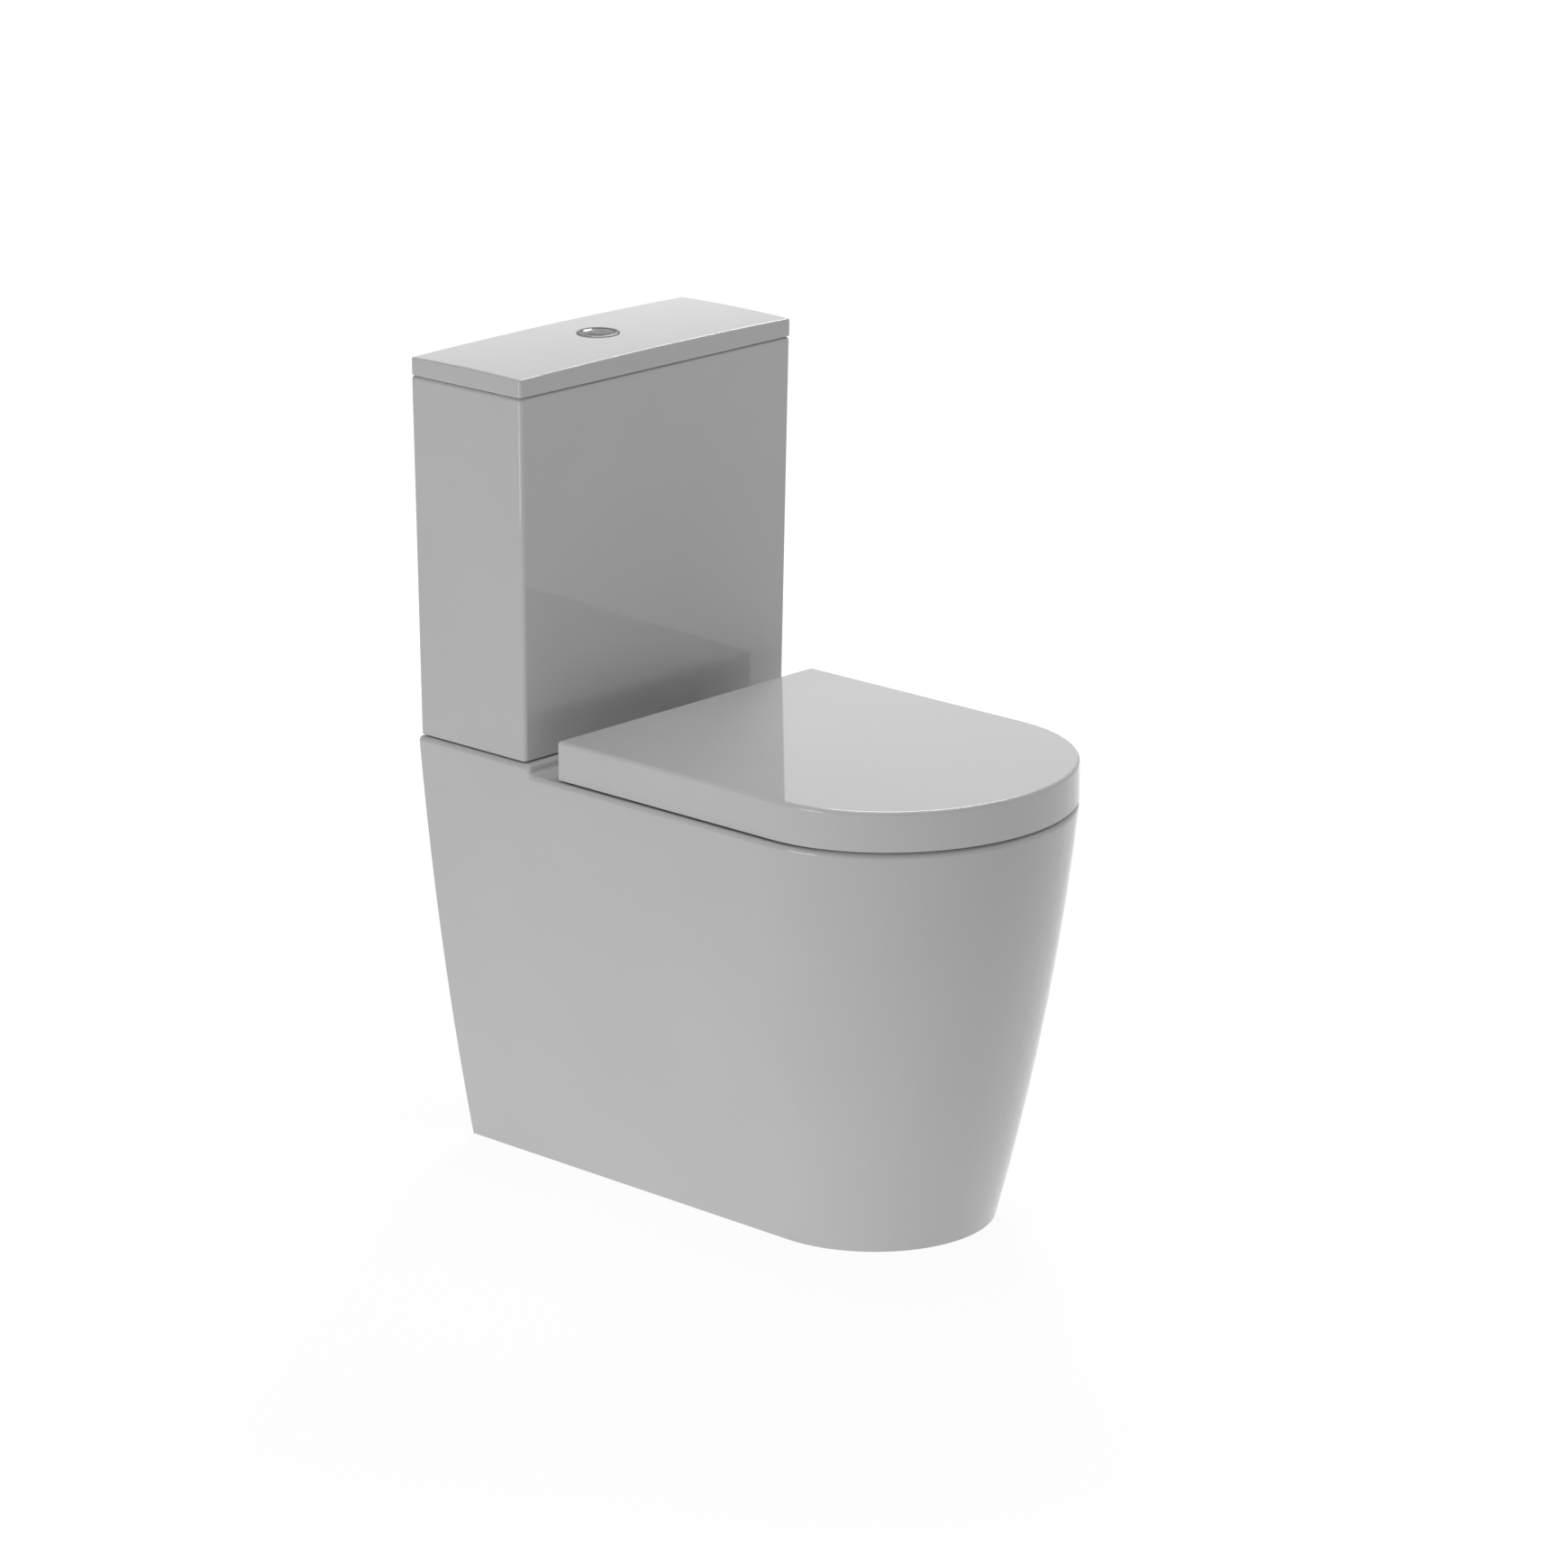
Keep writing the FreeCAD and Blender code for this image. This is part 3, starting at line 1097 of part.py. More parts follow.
def overflow_tube():
    """The tube that overflows at its top and lifts as the plunger, with its lifting arm."""
    collar_z = OVERFLOW_Z - COLLAR_DROP - COLLAR_HEIGHT
    tube = upright(0, FLUSH_OUT, SEAL_Z, OVERFLOW_Z, PLUNGER_TUBE_DIAMETER)
    foot = upright(0, FLUSH_OUT, PLUNGER_FOOT_Z, PLUNGER_FOOT_Z + PLUNGER_FOOT, PLUNGER_FOOT_DIAMETER)
    hub = upright(0, FLUSH_OUT, SEAL_Z, PLUNGER_FOOT_Z + 1, FLUSH_SEAL_BORE - PLUNGER_CLEARANCE)
    collar = upright(0, FLUSH_OUT, collar_z, collar_z + COLLAR_HEIGHT,
                     PLUNGER_TUBE_DIAMETER + COLLAR_HEIGHT)
    half = CROSSBAR_WIDTH / 2
    crossbar = block(0, FINGER_POST_X + FINGER_POST, FLUSH_OUT - half, FLUSH_OUT + half, collar_z,
                     collar_z + CROSSBAR_HEIGHT)
    body = tube.multiFuse([foot, hub, collar, crossbar, lift_finger()])
    bore = PLUNGER_TUBE_DIAMETER - 2 * PLUNGER_TUBE_WALL
    return body.cut(upright(0, FLUSH_OUT, SEAL_Z - 1, OVERFLOW_Z + 1, bore))


def flush_seal():
    """The rubber ring under the foot of the overflow tube, which closes on the valve lip."""
    return sleeve(0, FLUSH_OUT, SEAL_Z, PLUNGER_FOOT_Z, FLUSH_SEAL_DIAMETER, FLUSH_SEAL_BORE)


def half_flush_float():
    """The small float beside the barrel, its post through the guide and its finger."""
    top = BRIDGE_Z - HALF_FLOAT_DROP + HALF_FLOAT_LENGTH
    base = BRIDGE_Z - HALF_FLOAT_DROP
    outer = FINGER_POST_X + FINGER_POST
    post = block(-outer, -FINGER_POST_X, FLUSH_OUT - HALF_ROD_WIDTH / 2,
                 FLUSH_OUT + HALF_ROD_WIDTH / 2, top - 1, FINGER_UNDER_Z + FINGER_THICKNESS)
    inner = FINGER_POST_X - FINGER_POST_GAP - LEVER_THICKNESS
    finger = block(-outer, -inner, FLUSH_OUT - HALF_ROD_WIDTH / 2, FLUSH_OUT + HALF_ROD_WIDTH / 2,
                   FINGER_UNDER_Z, FINGER_UNDER_Z + FINGER_THICKNESS)
    near_x = FINGER_POST_X - FINGER_POST
    cup = block(-near_x - HALF_FLOAT_WIDTH, -near_x, FLUSH_OUT - HALF_FLOAT_DEPTH / 2,
                FLUSH_OUT + HALF_FLOAT_DEPTH / 2, base, top)
    cup = cup.makeFillet(FINGER_POST, edges_where(cup, lambda middle: base < middle.z < top
                                                  and not near(middle.z, base)
                                                  and not near(middle.z, top)))
    hollow = block(-near_x - HALF_FLOAT_WIDTH + FLOAT_WALL, -near_x - FLOAT_WALL,
                   FLUSH_OUT - HALF_FLOAT_DEPTH / 2 + FLOAT_WALL,
                   FLUSH_OUT + HALF_FLOAT_DEPTH / 2 - FLOAT_WALL, base - 1, top - 2 * FLOAT_WALL)
    return cup.cut(hollow).multiFuse([post, finger])


# Fill valve

def inlet_washers():
    """Rubber washers round both inlet threads on the tank floor."""
    return pair(washer(INLET_X, TANK_FLOOR_Z, INLET_FLANGE_Z, INLET_WASHER_DIAMETER,
                       INLET_THREAD + LEVER_PIN_CLEARANCE * 2))


def inlet_nuts():
    """Nuts on both inlet threads, below the tank."""
    low = TANK_BASE_Z - INLET_NUT_HEIGHT
    nut = polygon_prism(INLET_X, FLUSH_OUT, low, TANK_BASE_Z, INLET_NUT_ACROSS, 6)
    return pair(nut.cut(upright(INLET_X, FLUSH_OUT, low - 1, TANK_BASE_Z + 1,
                                INLET_THREAD + LEVER_PIN_CLEARANCE * 2)))


def blanking_plug():
    """The plug in the unused inlet hole."""
    low = TANK_BASE_Z - INLET_NUT_HEIGHT - INLET_FLANGE
    flange = upright(INLET_X, FLUSH_OUT, INLET_FLANGE_Z, INLET_FLANGE_Z + INLET_FLANGE,
                     INLET_WASHER_DIAMETER)
    return flange.fuse(upright(INLET_X, FLUSH_OUT, low, INLET_FLANGE_Z + 1, INLET_THREAD))


def fill_valve_riser():
    """The threaded inlet with a relief below its nut, the flange, the riser and the float stop."""
    x = -INLET_X
    low = TANK_BASE_Z - INLET_TAIL
    thread = upright(x, FLUSH_OUT, low, INLET_FLANGE_Z + 1, INLET_THREAD)
    flange = upright(x, FLUSH_OUT, INLET_FLANGE_Z, INLET_FLANGE_Z + INLET_FLANGE,
                     INLET_WASHER_DIAMETER)
    riser = upright(x, FLUSH_OUT, INLET_FLANGE_Z, HEAD_Z, RISER_DIAMETER)
    stop_top = FLOAT_BASE_Z - SEAT_GAP
    stop = upright(x, FLUSH_OUT, stop_top - FLOAT_STOP, stop_top, FLOAT_STOP_DIAMETER)
    body = thread.multiFuse([flange, riser, stop])
    nut_z = TANK_BASE_Z - INLET_NUT_HEIGHT
    relief = sleeve(x, FLUSH_OUT, nut_z - INLET_RELIEF_WIDTH, nut_z, INLET_WASHER_DIAMETER,
                    INLET_THREAD - 2 * INLET_RELIEF_DEPTH)
    return body.cut([relief, upright(x, FLUSH_OUT, low - 1, HEAD_Z + 1, INLET_BORE)])


def fill_valve_head():
    """The cap of the fill valve with two ears for the lever."""
    x = -INLET_X
    cap = upright(x, FLUSH_OUT, HEAD_Z, HEAD_Z + HEAD_HEIGHT, HEAD_DIAMETER)
    top = edges_where(cap, lambda middle: near(middle.z, HEAD_Z + HEAD_HEIGHT))
    cap = cap.makeChamfer(HEAD_HEIGHT / 8, top)
    ears = []
    inner = FILL_ARM_WIDTH / 2 + FILL_EAR_GAP
    for side in (-1, 1):
        near_out = FLUSH_OUT + side * inner
        far_out = FLUSH_OUT + side * (inner + FILL_EAR)
        ears.append(block(x, FILL_PIVOT_X, min(near_out, far_out), max(near_out, far_out),
                          FILL_PIVOT_Z - FILL_TIP_DIAMETER, FILL_PIVOT_Z + FILL_TIP_DIAMETER))
        ears.append(bar_y(FILL_PIVOT_X, min(near_out, far_out), max(near_out, far_out),
                          FILL_PIVOT_Z, 2 * FILL_TIP_DIAMETER))
    span = inner + FILL_EAR + 1
    hole = bar_y(FILL_PIVOT_X, FLUSH_OUT - span, FLUSH_OUT + span, FILL_PIVOT_Z,
                 FILL_PIN_DIAMETER + LEVER_PIN_CLEARANCE)
    return cap.multiFuse(ears).cut(hole)


def fill_lever_pin():
    """The pin of the fill valve lever."""
    span = FILL_ARM_WIDTH / 2 + FILL_EAR_GAP + FILL_EAR
    return bar_y(FILL_PIVOT_X, FLUSH_OUT - span, FLUSH_OUT + span, FILL_PIVOT_Z, FILL_PIN_DIAMETER)


def fill_valve_lever():
    """The forked lever that the float's rod lifts to close the fill valve."""
    half = FILL_ARM_WIDTH / 2
    thickness = FILL_TIP_DIAMETER
    arm = block(FILL_PIVOT_X, LINK_X, FLUSH_OUT - half, FLUSH_OUT + half,
                FILL_PIVOT_Z - thickness / 2, FILL_PIVOT_Z + thickness / 2)
    ends = [bar_y(x, FLUSH_OUT - half, FLUSH_OUT + half, FILL_PIVOT_Z, thickness)
            for x in (FILL_PIVOT_X, LINK_X)]
    slot_start = LINK_X - FILL_ARM / 4 - FILL_FORK_GAP / 2
    slot = block(slot_start, LINK_X + FILL_ARM, FLUSH_OUT - FILL_FORK_GAP / 2,
                 FLUSH_OUT + FILL_FORK_GAP / 2, FILL_PIVOT_Z - thickness, FILL_PIVOT_Z + thickness)
    bore = bar_y(FILL_PIVOT_X, FLUSH_OUT - half - 1, FLUSH_OUT + half + 1, FILL_PIVOT_Z,
                 FILL_PIN_DIAMETER + 2 * LEVER_PIN_CLEARANCE)
    return arm.multiFuse(ends).cut([slot, bore])


def fill_float():
    """The cup float that slides on the riser, open below, with the lug for its link rod."""
    x = -INLET_X
    bore = RISER_DIAMETER + 2 * FLOAT_CLEARANCE
    body = upright(x, FLUSH_OUT, FLOAT_BASE_Z, FLOAT_TOP_Z, FLOAT_DIAMETER)
    top = edges_where(body, lambda middle: near(middle.z, FLOAT_TOP_Z))
    body = body.makeChamfer(2 * FLOAT_WALL, top)
    lug_end = LINK_X + LINK_ROD_DIAMETER / 2 + FLOAT_WALL
    lug = block(x, lug_end, FLUSH_OUT - LINK_LUG_WIDTH / 2, FLUSH_OUT + LINK_LUG_WIDTH / 2,
                FLOAT_TOP_Z - 2 * FLOAT_WALL - LINK_LUG_HEIGHT, FLOAT_TOP_Z - 2 * FLOAT_WALL)
    body = body.fuse(lug)
    hollow = sleeve(x, FLUSH_OUT, FLOAT_BASE_Z + FLOAT_STOP, FLOAT_TOP_Z - 3 * FLOAT_WALL - LINK_LUG_HEIGHT,
                    FLOAT_DIAMETER - 2 * FLOAT_WALL, bore + 2 * FLOAT_WALL)
    mouth = sleeve(x, FLUSH_OUT, FLOAT_BASE_Z - 1, FLOAT_BASE_Z + FLOAT_STOP + 1,
                   FLOAT_DIAMETER - 2 * FLOAT_WALL, FLOAT_STOP_DIAMETER + 2 * FLOAT_WALL)
    cuts = [
        hollow,
        mouth,
        upright(x, FLUSH_OUT, FLOAT_BASE_Z - 1, FLOAT_TOP_Z + 1, bore),
        upright(LINK_X, FLUSH_OUT, FLOAT_BASE_Z, FLOAT_TOP_Z, LINK_ROD_DIAMETER + LEVER_PIN_CLEARANCE),
    ]
    return body.cut(cuts)


def float_link_rod():
    """The rod from the float's lug up through the fork of the lever, with two collars."""
    low = FLOAT_TOP_Z - 2 * FLOAT_WALL - LINK_LUG_HEIGHT
    tip = FILL_TIP_DIAMETER / 2 + LINK_CONTACT_GAP
    high = FILL_PIVOT_Z + tip + 2 * LINK_COLLAR
    rod = upright(LINK_X, FLUSH_OUT, low, high, LINK_ROD_DIAMETER)
    upper = upright(LINK_X, FLUSH_OUT, FILL_PIVOT_Z + tip, FILL_PIVOT_Z + tip + LINK_COLLAR,
                    LINK_COLLAR_DIAMETER)
    lower = upright(LINK_X, FLUSH_OUT, FILL_PIVOT_Z - tip - LINK_COLLAR, FILL_PIVOT_Z - tip,
                    LINK_COLLAR_DIAMETER)
    return rod.multiFuse([upper, lower])


# Seat

def cover_outline(inset, back, z):
    """The outline of the seat cover, drawn in by the inset."""
    return d_outline(COVER_WIDTH / 2 - inset, back, COVER_NOSE_OUT, COVER_FRONT_OUT - inset, z)


def knuckle(x_low, x_high):
    """A hinge knuckle round the hinge line."""
    return bar_x(x_low, x_high, HINGE_OUT, HINGE_Z, KNUCKLE_DIAMETER)


def hinge_reach():
    """Half the length of a hinge: half a post, a gap and a knuckle."""
    return POST_WIDTH / 2 + KNUCKLE_GAP + KNUCKLE_LENGTH


def pin_bores():
    """The running bores of the ring and cover knuckles, one through each hinge."""
    reach = hinge_reach() + KNUCKLE_GAP
    bore = bar_x(HINGE_X - reach, HINGE_X + reach, HINGE_OUT, HINGE_Z,
                 HINGE_PIN_DIAMETER + 2 * HINGE_PIN_CLEARANCE)
    return [bore, mirrored(bore)]


def cover_knuckles():
    """The outer knuckle of each hinge, with the web that joins it to the plate of the cover."""
    start = HINGE_X + POST_WIDTH / 2 + KNUCKLE_GAP
    end = start + KNUCKLE_LENGTH
    half = KNUCKLE_DIAMETER / 2
    web = block(start, end, HINGE_OUT - half, HINGE_OUT + half, HINGE_Z, COVER_UNDER_Z + 1)
    body = knuckle(start, end).fuse(web)
    return [body, mirrored(body)]


def seat_cover():
    """The wrap-over cover: a plate with a skirt, open at the back between the outer corners."""
    body = prism(cover_outline(0, COVER_BACK_OUT, COVER_BASE_Z), COVER_HEIGHT)
    back_y = y_at(COVER_BACK_OUT)
    corners = edges_where(body, lambda middle: near(middle.y, back_y) and near(middle.z, COVER_BASE_Z
                                                                               + COVER_HEIGHT / 2))
    body = body.makeFillet(COVER_BACK_CORNER, corners)
    top = edges_where(body, lambda middle: near(middle.z, COVER_TOP_Z))
    body = body.makeFillet(COVER_TOP_EDGE, top)
    hollow = prism(cover_outline(COVER_SKIRT, COVER_BACK_OUT + COVER_SKIRT, COVER_BASE_Z - 1),
                   COVER_HEIGHT - COVER_PLATE + 1)
    half_notch = COVER_BACK_NOTCH / 2
    notch = block(-half_notch, half_notch, COVER_BACK_OUT - 1, HINGE_OUT, COVER_BASE_Z - 1, COVER_UNDER_Z)
    body = body.cut([hollow, notch]).multiFuse(cover_knuckles())
    return body.cut(pin_bores())


def ring_knuckles():
    """The inner knuckle of each hinge, with the web that joins it to the back of the ring."""
    end = HINGE_X - POST_WIDTH / 2 - KNUCKLE_GAP
    start = end - KNUCKLE_LENGTH
    half = KNUCKLE_DIAMETER / 2
    web = block(start, end, HINGE_OUT, RING_BACK_OUT + RING_CORNER, HINGE_Z - half, HINGE_Z + half)
    body = knuckle(start, end).fuse(web)
    return [body, mirrored(body)]


def seat_ring():
    """The ring that is sat on, with soft edges and its hinge knuckles."""
    outside = prism(cover_outline(RING_INSET, RING_BACK_OUT, RING_BASE_Z), RING_HEIGHT)
    back_y = y_at(RING_BACK_OUT)
    middle_z = RING_BASE_Z + RING_HEIGHT / 2
    corners = edges_where(outside, lambda middle: near(middle.y, back_y) and near(middle.z, middle_z))
    outside = outside.makeFillet(RING_CORNER, corners)
    top = edges_where(outside, lambda middle: near(middle.z, RING_TOP_Z))
    outside = outside.makeFillet(RING_OUTER_EDGE, top)
    centre = RING_HOLE_BACK_OUT + RING_HOLE_LENGTH / 2
    hole = prism(oval_outline(RING_HOLE_WIDTH / 2, RING_HOLE_LENGTH / 2, centre, RING_BASE_Z - 1),
                 RING_HEIGHT + 2)
    body = outside.cut(hole)
    centre_y = y_at(centre)

    def upper_hole_edge(middle):
        inside = abs(middle.x) < RING_HOLE_WIDTH / 2 and abs(middle.y - centre_y) < RING_HOLE_LENGTH / 2
        return inside and near(middle.z, RING_TOP_Z)

    body = body.makeFillet(RING_INNER_EDGE, edges_where(body, upper_hole_edge))
    under = edges_where(body, lambda middle: near(middle.z, RING_BASE_Z))
    body = body.makeFillet(RING_UNDER_EDGE, under)
    return body.multiFuse(ring_knuckles()).cut(pin_bores())


def buffers(diameter, low, high):
    """Four rubber feet, two at the back and two at the front, with a bevelled lower end."""
    feet = []
    for out in (BUFFER_BACK_OUT, BUFFER_FRONT_OUT):
        foot = upright(BUFFER_X, out, low, high, diameter)
        edge = edges_where(foot, lambda middle: near(middle.z, low))
        foot = foot.makeChamfer((high - low) / 3, edge)
        feet.append(foot)
        feet.append(mirrored(foot))
    return Part.makeCompound(feet)


def seat_buffers():
    """The feet under the ring, which rest on the rim of the pan."""
    return buffers(BUFFER_DIAMETER, RIM_Z + BUFFER_GAP, RING_BASE_Z)


def cover_buffers():
    """The feet under the cover, which rest on the ring."""
    return buffers(COVER_BUFFER_DIAMETER, RING_TOP_Z + BUFFER_GAP, COVER_UNDER_Z)


def hinge_posts():
    """The posts that stand on the deck and carry the hinge pins."""
    half = POST_WIDTH / 2
    foot_z = RIM_Z + BASE_PLATE_HEIGHT
    post = block(HINGE_X - half, HINGE_X + half, HINGE_OUT - POST_DEPTH / 2,
                 HINGE_OUT + POST_DEPTH / 2, foot_z, HINGE_Z)
    body = post.fuse(knuckle(HINGE_X - half, HINGE_X + half))
    hole = bar_x(HINGE_X - half - 1, HINGE_X + half + 1, HINGE_OUT, HINGE_Z,
                 HINGE_PIN_DIAMETER + HINGE_PIN_CLEARANCE)
    return pair(body.cut(hole))


def hinge_pins():
    """The soft-close axles, one through each post and its two knuckles."""
    reach = hinge_reach()
    return pair(bar_x(HINGE_X - reach, HINGE_X + reach, HINGE_OUT, HINGE_Z, HINGE_PIN_DIAMETER))


def hinge_base_plates():
    """Round plates under the posts."""
    top = RIM_Z + BASE_PLATE_HEIGHT
    plate = upright(HINGE_X, HINGE_OUT, RIM_Z, top, BASE_PLATE_DIAMETER)
    rim = edges_where(plate, lambda middle: near(middle.z, top))
    plate = plate.makeChamfer(BASE_PLATE_HEIGHT / 4, rim)
    hole = upright(HINGE_X, HINGE_OUT, RIM_Z - 1, top + 1, STUD_DIAMETER + HINGE_PIN_CLEARANCE)
    return pair(plate.cut(hole))


def hinge_studs():
    """Threaded studs from the posts down through the deck."""
    top = RIM_Z + BASE_PLATE_HEIGHT
    return pair(upright(HINGE_X, HINGE_OUT, top - STUD_LENGTH, top, STUD_DIAMETER))


def hinge_anchor_bushes():
    """Rubber bushes in the deck holes, which swell below the deck as the studs are tightened."""
    low = RIM_Z + BASE_PLATE_HEIGHT - STUD_LENGTH + STUD_NUT_HEIGHT
    bush = upright(HINGE_X, HINGE_OUT, low, RIM_Z, BUSH_DIAMETER)
    bulge = upright(HINGE_X, HINGE_OUT, low, HOLLOW_TOP_Z, BUSH_DIAMETER + BUSH_BULGE)
    edge = edges_where(bulge, lambda middle: near(middle.z, low))
    bulge = bulge.makeChamfer(BUSH_BULGE / 3, edge)
    hole = upright(HINGE_X, HINGE_OUT, low - 1, RIM_Z + 1, STUD_DIAMETER + HINGE_PIN_CLEARANCE)
    return pair(bush.fuse(bulge).cut(hole))


def hinge_nuts():
    """Nuts at the foot of the studs, below the bushes."""
    low = RIM_Z + BASE_PLATE_HEIGHT - STUD_LENGTH
    nut = polygon_prism(HINGE_X, HINGE_OUT, low, low + STUD_NUT_HEIGHT, STUD_NUT_ACROSS, 6)
    hole = upright(HINGE_X, HINGE_OUT, low - 1, low + STUD_NUT_HEIGHT + 1,
                   STUD_DIAMETER + HINGE_PIN_CLEARANCE)
    return pair(nut.cut(hole))


# Every piece under its name

def pieces():
    """All pieces of the toilet by name."""
    return {
        "pan_shell": pan_shell(),
        "pan_bowl": pan_bowl(),
        "pan_trapway": pan_trapway(),
        "pan_flush_duct": pan_flush_duct(),
        "cistern_tank": cistern_tank(),
        "coupling_seal": coupling_seal(),
        "cistern_bolts": cistern_bolts(),
        "bolt_cone_washers": bolt_cone_washers(),
        "bolt_rest_washers": bolt_rest_washers(),
        "bolt_plate_washers": bolt_plate_washers(),
        "wing_nuts": wing_nuts(),
        "outlet_valve_base": outlet_valve_base(),
        "outlet_valve_washer": outlet_valve_washer(),
        "outlet_valve_back_nut": outlet_valve_back_nut(),
        "outlet_valve_cage": outlet_valve_cage(),
        "lever_pins": lever_pins(),
        "full_flush_lever": flush_lever(),
        "half_flush_lever": mirrored(flush_lever()),
        "overflow_tube": overflow_tube(),
        "flush_seal": flush_seal(),
        "half_flush_float": half_flush_float(),
        "inlet_washers": inlet_washers(),
        "inlet_nuts": inlet_nuts(),
        "blanking_plug": blanking_plug(),
        "fill_valve_riser": fill_valve_riser(),
        "fill_valve_head": fill_valve_head(),
        "fill_lever_pin": fill_lever_pin(),
        "fill_valve_lever": fill_valve_lever(),
        "fill_float": fill_float(),
        "float_link_rod": float_link_rod(),
        "cistern_lid": cistern_lid(),
        "lid_pads": lid_pads(),
        "button_housing": button_housing(),
        "housing_nut": housing_nut(),
        "full_flush_button": full_flush_button(),
        "half_flush_button": half_flush_button(),
        "full_push_rod": push_rod(1),
        "half_push_rod": push_rod(-1),
        "full_button_spring": button_spring(1),
        "half_button_spring": button_spring(-1),
        "seat_ring": seat_ring(),
        "seat_buffers": seat_buffers(),
        "seat_cover": seat_cover(),
        "cover_buffers": cover_buffers(),
        "hinge_posts": hinge_posts(),
        "hinge_pins": hinge_pins(),
        "hinge_base_plates": hinge_base_plates(),
        "hinge_studs": hinge_studs(),
        "hinge_anchor_bushes": hinge_anchor_bushes(),
        "hinge_nuts": hinge_nuts(),
    }


def main():
    """Write one file for each piece."""
    os.makedirs("parts", exist_ok=True)
    for name, shape in pieces().items():
        shape.exportStep("parts/" + name + ".step")


main()
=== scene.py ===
import bpy
import json
import math
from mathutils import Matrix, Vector


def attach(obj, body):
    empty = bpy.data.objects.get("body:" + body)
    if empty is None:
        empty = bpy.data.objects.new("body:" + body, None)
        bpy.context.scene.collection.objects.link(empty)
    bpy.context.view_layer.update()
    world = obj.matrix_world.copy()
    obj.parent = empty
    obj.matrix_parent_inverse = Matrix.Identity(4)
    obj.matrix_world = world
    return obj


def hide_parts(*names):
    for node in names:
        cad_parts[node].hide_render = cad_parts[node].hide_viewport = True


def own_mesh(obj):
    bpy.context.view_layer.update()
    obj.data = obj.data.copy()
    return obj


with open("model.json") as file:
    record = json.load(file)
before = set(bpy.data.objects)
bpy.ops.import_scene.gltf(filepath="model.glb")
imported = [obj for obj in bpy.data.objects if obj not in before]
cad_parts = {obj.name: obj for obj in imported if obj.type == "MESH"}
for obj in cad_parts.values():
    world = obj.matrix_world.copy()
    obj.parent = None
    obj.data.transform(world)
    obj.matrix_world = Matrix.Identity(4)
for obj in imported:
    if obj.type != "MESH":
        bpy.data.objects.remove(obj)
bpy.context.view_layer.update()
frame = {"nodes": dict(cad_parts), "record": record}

# Camera of the photograph: place and reach in metres, angles in degrees, lens and sensor in millimetres
CAMERA_PLACE = (-4.098592, -3.834763, 2.109174)
CAMERA_AZIMUTH = -46.902
CAMERA_ELEVATION = 16.847
CAMERA_LENS = 137.98
CAMERA_SENSOR = 36.0
CAMERA_REACH = 100.0

# Shading of the solids: points closer than this many metres are joined, and an edge that turns by
# fewer degrees than this is shaded as round
WELD_DISTANCE = 0.00001
SMOOTH_ANGLE = 32.0

# Middle stretch of a noise pattern, over which a colour goes from its low to its high tone
PATTERN_LOW = 0.3
PATTERN_HIGH = 0.7

# Index of refraction of glaze and of hard moulded plastic
GLOSS_IOR = 1.5

# Pieces that carry a screw thread, with its pitch in metres
THREAD_PITCH = {"cistern_bolts": 0.00125, "hinge_studs": 0.00125}

# Scale of Blender's wave pattern that gives one band to the metre
WAVE_SCALE = 0.314

# The two flush buttons, by the start of the names of their spring and joint
BUTTONS = ("full", "half")

# Strength of the surround, where it only lights the object and where it is seen
AMBIENT = 0.16
SURROUND_SHOWN = 1.0

# Floor: its side in metres, its paint, and the share of glow in what is seen of it
FLOOR_SIDE = 30.0
FLOOR_WHITE = 0.8
FLOOR_SHOWN_GLOW = 0.8

# Strength of the floor's glow, which rises between two distances from the origin, in metres
GLOW_NEAR = 1.14
GLOW_FAR = 1.25
GLOW_START = 0.8
GLOW_END = 2.5

# Share of glow in what the floor throws back on the object, which falls between two distances
BOUNCE_NEAR = 0.5
BOUNCE_FAR = 0.26
BOUNCE_START = 0.35
BOUNCE_END = 1.2

# Lamps, which all face one point: place, width and height in metres, and power in watts
LAMP_TARGET = (0.0, 0.0, 0.45)
LAMPS = {
    "overhead": {"place": (0.2, -0.2, 4.6), "width": 3.4, "height": 3.4, "power": 66.0},
    "behind": {"place": (2.4, 2.25, 1.65), "width": 2.4, "height": 2.4, "power": 6.0},
    "left_side": {"place": (-2.3, 0.1, 0.4), "width": 0.7, "height": 0.7, "power": 8.4},
    "right_front": {"place": (2.2, -2.2, 1.6), "width": 1.6, "height": 1.6, "power": 1.8},
    "edge_light": {"place": (1.68, 1.25, 2.15), "width": 0.6, "height": 1.0, "power": 16.0},
}


# Node helpers

def fresh_tree(owner, output_kind):
    """The emptied node tree of a material or a world, and its output node."""
    owner.use_nodes = True
    tree = owner.node_tree
    tree.nodes.clear()
    return tree, tree.nodes.new(output_kind)


def new_material(name):
    """A material with a Principled shader, with its node tree and that shader."""
    material = bpy.data.materials.new(name)
    tree, output = fresh_tree(material, "ShaderNodeOutputMaterial")
    shader = tree.nodes.new("ShaderNodeBsdfPrincipled")
    tree.links.new(shader.outputs["BSDF"], output.inputs["Surface"])
    return material, tree, shader


def noise(tree, scale, detail=3.0):
    """A noise pattern with its scale given per metre of the object."""
    place = tree.nodes.new("ShaderNodeTexCoord")
    pattern = tree.nodes.new("ShaderNodeTexNoise")
    pattern.inputs["Scale"].default_value = scale
    pattern.inputs["Detail"].default_value = detail
    tree.links.new(place.outputs["Object"], pattern.inputs["Vector"])
    return pattern.outputs["Fac"]


def threads(tree, pitch):
    """Bands along the height with the pitch of a screw thread, in metres."""
    place = tree.nodes.new("ShaderNodeTexCoord")
    wave = tree.nodes.new("ShaderNodeTexWave")
    wave.bands_direction = "Z"
    wave.wave_profile = "TRI"
    wave.inputs["Scale"].default_value = WAVE_SCALE / pitch
    tree.links.new(place.outputs["Object"], wave.inputs["Vector"])
    return wave.outputs["Fac"]


